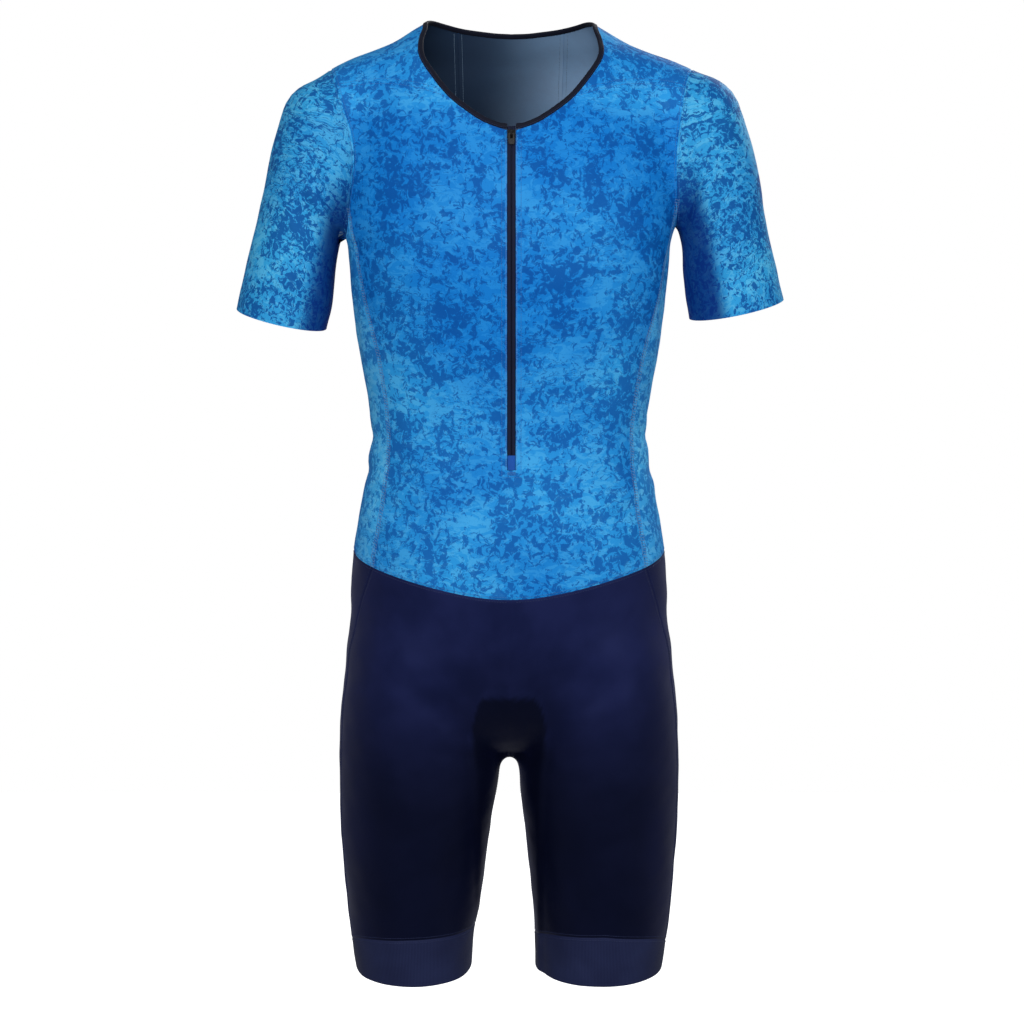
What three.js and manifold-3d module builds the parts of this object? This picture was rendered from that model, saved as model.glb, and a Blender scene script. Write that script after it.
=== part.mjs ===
// A short-sleeved triathlon suit, filled out as if worn, with nobody in it.
// The cloth is a thin wall on a smooth body form. The form is a torso, two arms and two legs that
// run softly into each other, and each cut piece of cloth is a patch of it between its seams.
// Sizes are in millimetres: +X is the wearer's left, -Y the front and +Z up.
// The origin is between the shoulders, level with the side of the neck.
import * as THREE from "three";
import { mergeVertices } from "three/addons/utils/BufferGeometryUtils.js";
import Module from "manifold-3d";

// Driving sizes
const CLOTH = 1.4;
const SEAM_GAP = 0.3;
const BINDING = { width: 5.5, thickness: 3.2 };
const LEG_BLEND = 26;
const LEG_POWER = 2.1;
const SIDES = [-1, 1];

// Torso rings from the top down: height, half width, front and back depth, depth of the widest point,
// and how square the ring is (2 is an ellipse)
const TORSO = [
  { z: 22, half: 58, front: -2, back: 42, mid: 16, power: 2 },
  { z: 3, half: 87.5, front: -24, back: 56, mid: 14, power: 2 },
  { z: -17, half: 121, front: -42, back: 69, mid: 11, power: 2 },
  { z: -33, half: 159, front: -55, back: 80, mid: 9, power: 2 },
  { z: -45, half: 171, front: -62, back: 86, mid: 8, power: 2.1 },
  { z: -62, half: 174, front: -72, back: 94, mid: 6, power: 2.1 },
  { z: -101, half: 173, front: -89, back: 107, mid: 3, power: 2.2 },
  { z: -150, half: 170, front: -105, back: 114, mid: 0, power: 2.3 },
  { z: -200, half: 168, front: -114.5, back: 111, mid: 0, power: 2.35 },
  { z: -222, half: 163.5, front: -116, back: 108, mid: 0, power: 2.4 },
  { z: -255, half: 161, front: -116, back: 102, mid: 0, power: 2.4 },
  { z: -317, half: 154, front: -109, back: 90, mid: 0, power: 2.3 },
  { z: -378, half: 143.5, front: -101, back: 81, mid: 0, power: 2.2 },
  { z: -415, half: 140.5, front: -99, back: 79, mid: 0, power: 2.2 },
  { z: -471, half: 149, front: -101, back: 85, mid: 0, power: 2.2 },
  { z: -533, half: 159.5, front: -104, back: 101, mid: 0, power: 2.2 },
  { z: -595, half: 162, front: -101, back: 114, mid: 2, power: 2.2 },
  { z: -650, half: 150, front: -92, back: 116, mid: 6, power: 2.2 },
  { z: -695, half: 112, front: -76, back: 102, mid: 10, power: 2.1 },
  { z: -720, half: 64, front: -52, back: 82, mid: 12, power: 2 },
  { z: -738, half: 24, front: -20, back: 46, mid: 12, power: 2 },
];

// Leg rings: height, the outer edge, the inner edge of the left and right leg, front and back depth
const LEG = [
  { z: -590, outer: 140, innerLeft: 30, innerRight: 30, front: -70, back: 70 },
  { z: -630, outer: 163, innerLeft: 12, innerRight: 12, front: -88, back: 98 },
  { z: -660, outer: 169, innerLeft: 9, innerRight: 8, front: -92, back: 108 },
  { z: -700, outer: 173.5, innerLeft: 11, innerRight: 9, front: -92, back: 107 },
  { z: -752, outer: 175.5, innerLeft: 14, innerRight: 12, front: -89, back: 99 },
  { z: -784, outer: 175, innerLeft: 15, innerRight: 16, front: -87, back: 93 },
  { z: -816, outer: 174.5, innerLeft: 19, innerRight: 22, front: -84, back: 87 },
  { z: -879, outer: 170, innerLeft: 25.5, innerRight: 30, front: -78, back: 78 },
  { z: -925, outer: 165.5, innerLeft: 29.5, innerRight: 36.5, front: -72, back: 72 },
  { z: -950, outer: 162, innerLeft: 30, innerRight: 38.5, front: -69, back: 69 },
  { z: -985, outer: 157, innerLeft: 31, innerRight: 40, front: -65, back: 65 },
];

// Each arm's axis from the shoulder to the hem, how much its round top leans in to the neck, and its
// rings along it, from 0 at the shoulder to 1 at the hem: half width, how far the ring is moved out
// from the axis, and half depth
const ARMS = [
  {
    side: -1,
    lean: 0.17,
    shoulder: { x: -184, y: 6, z: -95 },
    hem: { x: -231, y: -4, z: -295 },
    rings: [
      { at: 0, half: 45.5, out: 1, depth: 54 },
      { at: 0.15, half: 47.5, out: 1.5, depth: 55 },
      { at: 0.35, half: 45.5, out: 2.5, depth: 54 },
      { at: 0.6, half: 43.3, out: 4.2, depth: 51 },
      { at: 0.86, half: 46.5, out: 1.7, depth: 49 },
      { at: 1, half: 46.5, out: 1.2, depth: 48 },
    ],
  },
  {
    side: 1,
    lean: 0.08,
    shoulder: { x: 190, y: 6, z: -92 },
    hem: { x: 231, y: -4, z: -285 },
    rings: [
      { at: 0, half: 45, out: 1, depth: 54 },
      { at: 0.15, half: 48, out: 1.5, depth: 55 },
      { at: 0.35, half: 48, out: 3, depth: 54 },
      { at: 0.6, half: 44, out: 4.2, depth: 51 },
      { at: 0.8, half: 46.8, out: 1.9, depth: 49.5 },
      { at: 1, half: 48.3, out: 1, depth: 48 },
    ],
  },
];

// The armhole seam: how far out it lies at each angle, with 0 degrees to the front and 90 up
const ARMHOLE = [
  { at: -128, right: 167, left: 166.5 },
  { at: -110, right: 168.5, left: 169.5 },
  { at: -90, right: 168.5, left: 170 },
  { at: -70, right: 168, left: 170 },
  { at: -50, right: 160.8, left: 169 },
  { at: -20, right: 155, left: 168 },
  { at: 0, right: 155.5, left: 168.5 },
  { at: 18, right: 159, left: 170.5 },
  { at: 36, right: 165.5, left: 173 },
  { at: 54, right: 172, left: 177 },
  { at: 90, right: 181, left: 186 },
  { at: 130, right: 174, left: 179 },
  { at: 180, right: 161, left: 167 },
  { at: 215, right: 164, left: 167 },
  { at: 232, right: 167, left: 166.5 },
];

// How wide a strip the arms run into the torso over: wide at the shoulder, narrow at the armpit
const ARM_BLEND = [
  { z: -40, width: 38 },
  { z: -60, width: 30 },
  { z: -85, width: 18 },
  { z: -110, width: 16 },
  { z: -160, width: 12 },
  { z: -195, width: 6 },
];

// The strip is this much wider for each millimetre in front of or behind the shoulder, up to a limit
const ARM_BLEND_WIDENING = { share: 0.35, limit: 60 };

// The neckline over one side, from the centre of the front to the centre of the back
const NECKLINE = [
  { x: 0, y: -88, z: -107 },
  { x: 24, y: -82, z: -97 },
  { x: 41, y: -73, z: -84 },
  { x: 53, y: -60, z: -69 },
  { x: 62, y: -47, z: -53 },
  { x: 71, y: -32, z: -36 },
  { x: 79, y: -17, z: -20 },
  { x: 84, y: -3, z: -5 },
  { x: 85, y: 12, z: 1 },
  { x: 79, y: 30, z: 3 },
  { x: 69, y: 42, z: 1 },
  { x: 55, y: 51, z: -2 },
  { x: 38, y: 58, z: -4 },
  { x: 19, y: 62, z: -6 },
  { x: 0, y: 63, z: -7 },
];
const NECK_CENTRE = new THREE.Vector3(0, 4, -48);
const NECK_TOP = new THREE.Vector3(0, 10, 40);

// The zip and the neckline sit a little to the left of the middle of the body
const CENTRE_FRONT = 2.5;
const NECK_AT_SHOULDER_SEAM = 3.1;
const NECK_AT_BACK_SEAM = 11;

// Half width of the front between its side seams, and of the back, at each height
const SIDE_SEAM = [
  { z: -150, front: 160, back: 155 },
  { z: -190, front: 157, back: 151 },
  { z: -222, front: 151, back: 144 },
  { z: -271, front: 143, back: 132 },
  { z: -339, front: 128, back: 120 },
  { z: -409, front: 121, back: 113 },
  { z: -470, front: 127, back: 117 },
  { z: -540, front: 140, back: 128 },
];

// The shorts' side panel: how far round from the front its two seams lie, in degrees
const LEG_SIDE_SEAM = [
  { z: -540, front: 56, back: 128 },
  { z: -600, front: 66, back: 122 },
  { z: -680, front: 70, back: 118 },
  { z: -760, front: 72, back: 116 },
  { z: -930, front: 74, back: 114 },
];

// Height of the seam above the gripper bands, at angles round the leg from the front outwards
const GRIPPER_SEAM = [
  { at: 0, right: -925, left: -922 },
  { at: 45, right: -929, left: -929 },
  { at: 90, right: -938, left: -941 },
  { at: 135, right: -934, left: -937 },
  { at: 180, right: -928, left: -931 },
  { at: 225, right: -926, left: -931 },
  { at: 270, right: -924, left: -932 },
  { at: 315, right: -924, left: -925 },
  { at: 360, right: -925, left: -922 },
];

// Where seams start and end
const WAIST = { side: -531, frontDip: 41, backDip: -6, power: 1.2 };
const SIDE_SEAM_WAIST = { front: 138, back: 128 };
const BACK_SEAM_HALF = { waist: 46, neck: 55 };
const ARMHOLE_CENTRE = { y: 6, z: -122 };
const ARMHOLE_ANGLE = { sideFront: -50, shoulder: 54, sideBack: 232 };
const SHOULDER_SEAM_RISE = 9;
// The middle of the hips, from which the rise and the pad are laid out, and the start of the line
// straight down that ends at the crotch
const HIPS = { y: 10, z: -650, above: -690 };
// How fast a side seam of the shorts leaves the line below its start, and how an inseam starts
const LEG_SEAM_TURN = 0.25;
const INSEAM = { angle: 268, crowding: 1.15, drop: 8, blend: 4 };
const HEM = { height: -966, frontDip: 9 };
const SLEEVE_HEM_DIP = 8;
const TUBE_CROWDING = 1.25;
const ROW_CROWDING = 1.3;
const RELAX_ROUNDS = 6;

// Zip: the slot in the front, and the sizes of its slider and pull tab
const ZIP = {
  slotHalf: 4.3, tapeHalf: 4.0, tape: 2.0, slotEnd: -443, tapeEnd: -428, tab: 2.4, rows: 16, tabRows: 2,
};
// Across the tape its points lie at these shares of its half width, and it ends inside the binding
const TAPE_SHARES = [-1, -0.34, 0.34, 1];
const TAPE_IN_BINDING = 0.8;
const SLIDER = { width: 8.2, length: 10.5, thickness: 2.6, below: 10.5, lift: 0.3, corner: 2.2 };
const CROWN = { width: 1.7, length: 7.4, height: 4.2, hole: 2.3, wall: 1.1, sunk: 0.4, shoulder: 0.55 };
const PULL = {
  width: 6, length: 11.2, thickness: 1.2, corner: 1.6, eyeWidth: 2.7, eyeLength: 4.4, bar: 1.2, droop: 10,
};

// Pad inside the crotch: half width along it, from the front over the crotch to the seat
const PAD = {
  thickness: 7, edge: 2.5, front: -668, back: -650, rows: 16, columns: 10, tuck: 0.4, reach: 4,
  narrowing: 0.9, droop: 0.12,
};
const PAD_HALF = [
  { at: 0, half: 24 },
  { at: 0.06, half: 34 },
  { at: 0.18, half: 39 },
  { at: 0.4, half: 34 },
  { at: 0.65, half: 48 },
  { at: 0.88, half: 60 },
  { at: 1, half: 44 },
];

// How many steps each seam is cut into
const STEPS = {
  sideSeam: 15,
  armholeFront: 8,
  armholeBack: 11,
  armholeUnder: 5,
  shoulderSeam: 5,
  neckFront: 5,
  neckSide: 8,
  backSeam: 18,
  backHalf: 3,
  sleeve: 13,
  rise: 9,
  inseam: 9,
  gripper: 3,
  slotEndRow: 6,
};

// Tables and curves

// The value in one column at a height or share, on a smooth curve through the rows
function column(rows, key, at, by = "z") {
  const down = rows[0][by] > rows[rows.length - 1][by] ? -1 : 1;
  const last = rows.length - 1;
  if ((at - rows[0][by]) * down <= 0) return rows[0][key];
  if ((at - rows[last][by]) * down >= 0) return rows[last][key];
  let i = 0;
  while ((at - rows[i + 1][by]) * down > 0) i += 1;
  const slope = (a, b) => (rows[b][key] - rows[a][key]) / (rows[b][by] - rows[a][by]);
  const span = rows[i + 1][by] - rows[i][by];
  const t = (at - rows[i][by]) / span;
  const start = slope(Math.max(i - 1, 0), i + 1) * span;
  const end = slope(i, Math.min(i + 2, last)) * span;
  const h = t * t * (3 - 2 * t);
  return (
    rows[i][key] * (1 - h) +
    rows[i + 1][key] * h +
    start * t * (1 - t) * (1 - t) -
    end * t * t * (1 - t)
  );
}

const mix = (a, b, t) => a + (b - a) * t;
const sideName = (side) => (side > 0 ? "left" : "right");
const radians = (degrees) => (degrees * Math.PI) / 180;

// The body form: below zero inside it, zero on the cloth and above zero outside

function smoothMin(a, b, blend) {
  const h = Math.max(blend - Math.abs(a - b), 0) / blend;
  return Math.min(a, b) - (h * h * blend) / 4;
}

function ovalDistance(dx, dy, half, front, back, power) {
  const depth = dy < 0 ? front : back;
  const far = Math.hypot(dx, dy);
  const share = (Math.abs(dx) / half) ** power + (Math.abs(dy) / depth) ** power;
  return far === 0 ? -half : far * (1 - share ** (-1 / power));
}

// Past the end of a stack of rings the distance also grows with the height beyond it
function cappedDistance(distance, beyond) {
  return beyond <= 0 ? distance : Math.hypot(Math.max(distance, 0), beyond);
}

function torsoDistance(p) {
  const mid = column(TORSO, "mid", p.z);
  const flat = ovalDistance(
    p.x,
    p.y - mid,
    column(TORSO, "half", p.z),
    mid - column(TORSO, "front", p.z),
    column(TORSO, "back", p.z) - mid,
    column(TORSO, "power", p.z),
  );
  const above = p.z - TORSO[0].z;
  const below = TORSO[TORSO.length - 1].z - p.z;
  return cappedDistance(flat, Math.max(above, below));
}

function legDistance(p, side) {
  const outer = column(LEG, "outer", p.z);
  const inner = column(LEG, side > 0 ? "innerLeft" : "innerRight", p.z);
  const flat = ovalDistance(
    p.x - (side * (outer + inner)) / 2,
    p.y,
    (outer - inner) / 2,
    -column(LEG, "front", p.z),
    column(LEG, "back", p.z),
    LEG_POWER,
  );
  return cappedDistance(flat, p.z - LEG[0].z);
}

// An arm's own directions: along it, out across it in the plane of the shoulders, and its length
function armFrame(arm) {
  const shoulder = new THREE.Vector3(arm.shoulder.x, arm.shoulder.y, arm.shoulder.z);
  const hem = new THREE.Vector3(arm.hem.x, arm.hem.y, arm.hem.z);
  const along = hem.clone().sub(shoulder);
  const length = along.length();
  along.normalize();
  const depth = new THREE.Vector3(0, 1, 0).addScaledVector(along, -along.y).normalize();
  const across = new THREE.Vector3().crossVectors(along, depth).normalize();
  if (across.x * arm.side < 0) across.negate();
  return { shoulder, hem, along, across, depth, length, lean: arm.lean, rings: arm.rings };
}
const ARM_FRAMES = ARMS.map(armFrame);

function armDistance(p, frame) {
  const from = p.clone().sub(frame.shoulder);
  const along = from.dot(frame.along);
  const above = Math.min(along, 0);
  const at = Math.max(along, 0) / frame.length;
  const half = column(frame.rings, "half", at, "at");
  const depth = column(frame.rings, "depth", at, "at");
  const leaned = (frame.lean * above * above) / half;
  const out = from.dot(frame.across) - column(frame.rings, "out", at, "at") + leaned;
  return ovalDistance(Math.hypot(out, above), from.dot(frame.depth), half, depth, depth, 2);
}

function bodyDistance(p) {
  let d = torsoDistance(p);
  const widening = ARM_BLEND_WIDENING.share * Math.min(Math.abs(p.y), ARM_BLEND_WIDENING.limit);
  const blend = column(ARM_BLEND, "width", p.z) + widening;
  for (const frame of ARM_FRAMES) d = smoothMin(d, armDistance(p, frame), blend);
  for (const side of SIDES) d = smoothMin(d, legDistance(p, side), LEG_BLEND);
  return d;
}

const AXES = [new THREE.Vector3(1, 0, 0), new THREE.Vector3(0, 1, 0), new THREE.Vector3(0, 0, 1)];

// How finely the form is measured: the step of its slope, and how close a settled point comes to it
const MEASURE = { step: 0.05, near: 1e-4, rounds: 12, leastSlope: 0.05, stride: 8, halvings: 30 };

function gradient(p) {
  const { step } = MEASURE;
  const parts = AXES.map((axis) => {
    const ahead = bodyDistance(p.clone().addScaledVector(axis, step));
    const behind = bodyDistance(p.clone().addScaledVector(axis, -step));
    return (ahead - behind) / (2 * step);
  });
  return new THREE.Vector3(...parts);
}

const normalAt = (p) => gradient(p).normalize();

// Slides a point that is near the form onto it
function settle(p) {
  const q = p.clone();
  for (let i = 0; i < MEASURE.rounds; i += 1) {
    const d = bodyDistance(q);
    if (Math.abs(d) < MEASURE.near) break;
    const g = gradient(q);
    q.addScaledVector(g, -d / Math.max(g.lengthSq(), MEASURE.leastSlope));
  }
  return q;
}

// Where a straight line from inside the form leaves it
function cast(from, direction) {
  const way = direction.clone().normalize();
  let inside = 0;
  let outside = MEASURE.stride;
  while (bodyDistance(from.clone().addScaledVector(way, outside)) < 0) {
    inside = outside;
    outside += MEASURE.stride;
  }
  for (let i = 0; i < MEASURE.halvings; i += 1) {
    const middle = (inside + outside) / 2;
    if (bodyDistance(from.clone().addScaledVector(way, middle)) < 0) inside = middle;
    else outside = middle;
  }
  return from.clone().addScaledVector(way, (inside + outside) / 2);
}

// The point of the front or back at a given width and height
function facing(x, z, toFront) {
  const from = new THREE.Vector3(x, column(TORSO, "mid", z), z);
  return cast(from, new THREE.Vector3(0, toFront ? -1 : 1, 0));
}

// Points of a curve given as a function of a share from 0 to 1
function sample(steps, at) {
  return Array.from({ length: steps + 1 }, (_, i) => at(i / steps));
}

const joined = (first, second) => [...first, ...second.slice(1)];
const reversed = (points) => [...points].reverse();

// Seams

function neckPoint(side, at) {
  const rows = NECKLINE.map((row, i) => ({ ...row, at: i }));
  const target = new THREE.Vector3(
    side * column(rows, "x", at, "at") + CENTRE_FRONT,
    column(rows, "y", at, "at"),
    column(rows, "z", at, "at"),
  );
  return cast(NECK_CENTRE, target.sub(NECK_CENTRE));
}

// The share of the neckline, from its front centre, at which it is one slot half away from the centre
const NECK_AT_ZIP = 0.165;

function armholePoint(arm, degrees) {
  const angle = radians(degrees);
  const x = column(ARMHOLE, sideName(arm.side), degrees, "at");
  const from = new THREE.Vector3(arm.side * x, ARMHOLE_CENTRE.y, ARMHOLE_CENTRE.z);
  return cast(from, new THREE.Vector3(0, -Math.cos(angle), Math.sin(angle)));
}

// Seam height round the waist: share is how far a point faces the front (1) or the back (-1)
function waistHeight(facingShare) {
  const c = Math.abs(facingShare);
  const dip = facingShare > 0 ? WAIST.frontDip : WAIST.backDip;
  return WAIST.side - dip * c ** WAIST.power;
}

function waistPoint(degrees) {
  const angle = radians(degrees);
  const z = waistHeight(Math.cos(angle));
  const from = new THREE.Vector3(0, column(TORSO, "mid", z), z);
  return cast(from, new THREE.Vector3(Math.sin(angle), -Math.cos(angle), 0));
}

// How far round the waist, in degrees, the seam has a given half width
function waistAngle(half, toFront) {
  let low = toFront ? 0 : 90;
  let high = toFront ? 90 : 180;
  for (let i = 0; i < MEASURE.halvings; i += 1) {
    const middle = (low + high) / 2;
    const wide = waistPoint(middle).x > half;
    if (wide === toFront) high = middle;
    else low = middle;
  }
  return (low + high) / 2;
}

// Rows of the body are closer together near the armhole
const towardsArmhole = (t) => 1 - (1 - t) ** ROW_CROWDING;

function sideSeam(arm, toFront) {
  const key = toFront ? "front" : "back";
  const start = waistPoint(arm.side * waistAngle(SIDE_SEAM_WAIST[key], toFront));
  const end = armholePoint(arm, toFront ? ARMHOLE_ANGLE.sideFront : ARMHOLE_ANGLE.sideBack);
  return sample(STEPS.sideSeam, (t) => {
    if (t === 0) return start;
    if (t === 1) return end;
    const z = mix(start.z, end.z, towardsArmhole(t));
    const startOff = Math.abs(start.x) - column(SIDE_SEAM, key, start.z);
    const endOff = Math.abs(end.x) - column(SIDE_SEAM, key, end.z);
    const x = column(SIDE_SEAM, key, z) + mix(startOff, endOff, towardsArmhole(t));
    return facing(arm.side * x, z, toFront);
  });
}

function shoulderSeam(arm) {
  const start = armholePoint(arm, ARMHOLE_ANGLE.shoulder);
  const end = neckPoint(arm.side, NECK_AT_SHOULDER_SEAM);
  return sample(STEPS.shoulderSeam, (t) => {
    if (t === 0) return start;
    if (t === 1) return end;
    const rise = SHOULDER_SEAM_RISE * 4 * t * (1 - t);
    return facing(mix(start.x, end.x, t), mix(start.z, end.z, t) + rise, true);
  });
}

function armholeArc(arm, steps, from, to) {
  return sample(steps, (t) => armholePoint(arm, mix(from, to, t)));
}

function neckArc(side, steps, from, to) {
  return sample(steps, (t) => neckPoint(side, mix(from, to, t)));
}

function waistArc(steps, from, to) {
  return sample(steps, (t) => waistPoint(mix(from, to, t)));
}

// The seam between the back's middle and side pieces
function backSeam(side) {
  const start = waistPoint(side * waistAngle(BACK_SEAM_HALF.waist, false));
  const end = neckPoint(side, NECK_AT_BACK_SEAM);
  return sample(STEPS.backSeam, (t) => {
    if (t === 0) return start;
    if (t === 1) return end;
    return facing(mix(start.x, end.x, t), mix(start.z, end.z, t), false);
  });
}

// One edge of the zip's slot, and its line below down to the waist
function slotEdge(side) {
  const start = waistPoint(side * waistAngle(ZIP.slotHalf + side * CENTRE_FRONT, true));
  const end = neckPoint(side, NECK_AT_ZIP);
  const rows = STEPS.sideSeam + STEPS.armholeFront;
  const endShare = STEPS.slotEndRow / rows;
  return sample(rows, (t) => {
    if (t === 0) return start;
    if (t === 1) return end;
    const z =
      t <= endShare
        ? mix(start.z, ZIP.slotEnd, t / endShare)
        : mix(ZIP.slotEnd, end.z, (t - endShare) / (1 - endShare));
    return facing(side * ZIP.slotHalf + CENTRE_FRONT, z, true);
  });
}

// A point of a leg, from the middle of the leg at a given height, with 0 degrees to the front
function legPoint(side, z, degrees) {
  const angle = radians(degrees);
  const inner = column(LEG, side > 0 ? "innerLeft" : "innerRight", z);
  const middle = (column(LEG, "outer", z) + inner) / 2;
  const from = new THREE.Vector3(side * middle, 0, z);
  return cast(from, new THREE.Vector3(side * Math.sin(angle), -Math.cos(angle), 0));
}

// The leg hem, and the seam above its gripper band, round the leg
const hemHeight = (side, degrees) => HEM.height - HEM.frontDip * Math.cos(radians(degrees));
const gripperHeight = (side, degrees) =>
  column(GRIPPER_SEAM, sideName(side), (degrees + 360) % 360, "at");

const gripperAngles = LEG_SIDE_SEAM[LEG_SIDE_SEAM.length - 1];

// The seam of the shorts' side panel, from the waist down to the gripper band
function legSideSeam(side, toFront) {
  const key = toFront ? "front" : "back";
  const start = waistPoint(side * waistAngle(SIDE_SEAM_WAIST[key], toFront));
  const degrees = gripperAngles[key];
  const end = legPoint(side, gripperHeight(side, degrees), degrees);
  return sample(STEPS.rise + STEPS.inseam, (t) => {
    if (t === 0) return start;
    if (t === 1) return end;
    const z = mix(start.z, end.z, t);
    const turned = legPoint(side, z, column(LEG_SIDE_SEAM, key, z));
    const early = Math.max(1 - t / LEG_SEAM_TURN, 0) ** 2;
    const drop = facing(start.x, z, toFront);
    return settle(turned.lerp(drop, early));
  });
}

// From the waist down the middle and under to the crotch, and on down the inside of the leg
function crotchPoint() {
  return cast(new THREE.Vector3(0, HIPS.y, HIPS.above), new THREE.Vector3(0, 0, -1));
}

function riseSeam(start, toFront) {
  const crotch = crotchPoint();
  const centre = new THREE.Vector3(0, HIPS.y, HIPS.z);
  const out = facing(0, centre.z, toFront);
  const straight = start.z - centre.z;
  const around = out.distanceTo(centre) * 0.5 * Math.PI;
  return sample(STEPS.rise, (t) => {
    if (t === 0) return start;
    if (t === 1) return crotch;
    const way = t * (straight + around);
    if (way < straight) return facing(mix(start.x, 0, way / straight), start.z - way, toFront);
    const turn = ((way - straight) / around) * 0.5 * Math.PI;
    const forward = toFront ? -Math.cos(turn) : Math.cos(turn);
    return cast(centre, new THREE.Vector3(0, forward, -Math.sin(turn)));
  });
}

function inseam(side) {
  const start = crotchPoint();
  const end = legPoint(side, gripperHeight(side, INSEAM.angle), INSEAM.angle);
  return sample(STEPS.inseam, (t) => {
    if (t === 0) return start;
    if (t === 1) return end;
    const z = mix(start.z, end.z, t ** INSEAM.crowding);
    const below = legPoint(side, Math.min(z, start.z - INSEAM.drop), INSEAM.angle);
    const blend = Math.min(t * INSEAM.blend, 1);
    return settle(new THREE.Vector3().lerpVectors(start, below, blend).setZ(z));
  });
}

function legArc(side, steps, from, to, height) {
  return sample(steps, (t) => {
    const degrees = mix(from, to, t);
    return legPoint(side, height(side, degrees), degrees);
  });
}

// Patches and walls

// Evens out the points between the edges of a grid, and keeps them on the form
function relax(grid) {
  for (let round = 0; round < RELAX_ROUNDS; round += 1) {
    for (let j = 1; j + 1 < grid.length; j += 1) {
      for (let i = 1; i + 1 < grid[j].length; i += 1) {
        const middle = new THREE.Vector3()
          .add(grid[j - 1][i])
          .add(grid[j + 1][i])
          .add(grid[j][i - 1])
          .add(grid[j][i + 1])
          .multiplyScalar(0.25);
        grid[j][i] = settle(middle);
      }
    }
  }
  return grid;
}

// Fills a four-sided patch between its edges and settles it on the form. Rows run from the bottom
// edge to the top edge, and each row runs from the left edge to the right edge.
function patch(bottom, top, left, right) {
  if (bottom.length !== top.length || left.length !== right.length) {
    throw new Error("opposite edges of a patch need as many points");
  }
  const across = bottom.length - 1;
  const up = left.length - 1;
  const grid = left.map((_, j) =>
    bottom.map((__, i) => {
      if (j === 0) return bottom[i];
      if (j === up) return top[i];
      if (i === 0) return left[j];
      if (i === across) return right[j];
      const u = i / across;
      const v = j / up;
      const p = new THREE.Vector3()
        .addScaledVector(left[j], 1 - u)
        .addScaledVector(right[j], u)
        .addScaledVector(bottom[i], 1 - v)
        .addScaledVector(top[i], v)
        .addScaledVector(bottom[0], -(1 - u) * (1 - v))
        .addScaledVector(bottom[across], -u * (1 - v))
        .addScaledVector(top[0], -(1 - u) * v)
        .addScaledVector(top[across], -u * v);
      return settle(p);
    }),
  );
  return relax(grid);
}

// Rings of one tube of cloth, from one closed edge to the other, closer together near the first
function tube(firstRing, lastRing, steps) {
  return sample(steps, (t) =>
    firstRing.map((p, i) => {
      if (t === 0) return p;
      if (t === 1) return lastRing[i];
      return settle(p.clone().lerp(lastRing[i], t ** TUBE_CROWDING));
    }),
  );
}

// The rim of a sheet is drawn in by no more than this share allows at its sharp corners
const LEAST_SPREAD = 0.5;

// A sheet is a set of points and the quads between them. Points that are the same are joined.
class Sheet {
  constructor() {
    this.points = [];
    this.quads = [];
    this.found = new Map();
  }

  index(p) {
    const key = [p.x, p.y, p.z].map((value) => value.toFixed(3)).join();
    if (!this.found.has(key)) {
      this.found.set(key, this.points.length);
      this.points.push(p.clone());
    }
    return this.found.get(key);
  }

  // Adds a grid of points, turned so that its quads face out of the form
  add(grid) {
    const quads = [];
    let outward = 0;
    for (let j = 0; j + 1 < grid.length; j += 1) {
      for (let i = 0; i + 1 < grid[j].length; i += 1) {
        const [a, b, c, d] = [grid[j][i], grid[j][i + 1], grid[j + 1][i + 1], grid[j + 1][i]];
        const area = new THREE.Vector3().crossVectors(c.clone().sub(a), d.clone().sub(b));
        outward += area.dot(normalAt(a));
        quads.push([a, b, c, d].map((p) => this.index(p)));
      }
    }
    this.quads.push(...quads.map((quad) => (outward < 0 ? quad.reverse() : quad)));
    return this;
  }

  // The edges that only one quad uses, each in its quad's own order
  rim() {
    const used = new Map();
    for (const quad of this.quads) {
      quad.forEach((a, k) => {
        const b = quad[(k + 1) % 4];
        const key = a < b ? `${a} ${b}` : `${b} ${a}`;
        used.set(key, used.has(key) ? null : [a, b]);
      });
    }
    return [...used.values()].filter(Boolean);
  }

  // The points, with those of the rim drawn in by half a seam's gap, so that neighbours stay apart
  drawnIn(normals, distance) {
    const pull = this.points.map(() => new THREE.Vector3());
    for (const [a, b] of this.rim()) {
      const along = this.points[b].clone().sub(this.points[a]).normalize();
      const inward = new THREE.Vector3().crossVectors(normals[a], along).normalize();
      pull[a].add(inward);
      pull[b].add(inward);
    }
    return this.points.map((p, k) => {
      if (pull[k].lengthSq() === 0) return p;
      const spread = Math.max(pull[k].length() / 2, LEAST_SPREAD);
      return p.clone().addScaledVector(pull[k].normalize(), distance / spread);
    });
  }
}

// The closed wall between an outer and an inner copy of a sheet. Inward is one size, or one a point.
function wall(sheet, outward, inward, gap = SEAM_GAP) {
  const normals = sheet.points.map(normalAt);
  const points = sheet.drawnIn(normals, gap / 2);
  const count = points.length;
  const depth = (k) => (Array.isArray(inward) ? inward[k] : inward);
  const positions = [];
  points.forEach((p, k) => positions.push(...p.clone().addScaledVector(normals[k], outward)));
  points.forEach((p, k) => positions.push(...p.clone().addScaledVector(normals[k], -depth(k))));
  const index = [];
  const quad = (a, b, c, d) => index.push(a, b, c, a, c, d);
  const off = (a, b) => Math.abs(bodyDistance(sheet.points[a].clone().lerp(sheet.points[b], 0.5)));
  for (const corners of sheet.quads) {
    const [a, b, c, d] = corners;
    const [e, f, g, h] = off(a, c) < off(b, d) ? [a, b, c, d] : [b, c, d, a];
    quad(e, f, g, h);
    quad(g + count, f + count, e + count, h + count);
  }
  for (const [a, b] of sheet.rim()) quad(b, a, a + count, b + count);
  const geometry = new THREE.BufferGeometry();
  geometry.setAttribute("position", new THREE.Float32BufferAttribute(positions, 3));
  geometry.setIndex(index);
  return geometry;
}

const cloth = (sheet) => wall(sheet, CLOTH / 2, CLOTH / 2);

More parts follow.
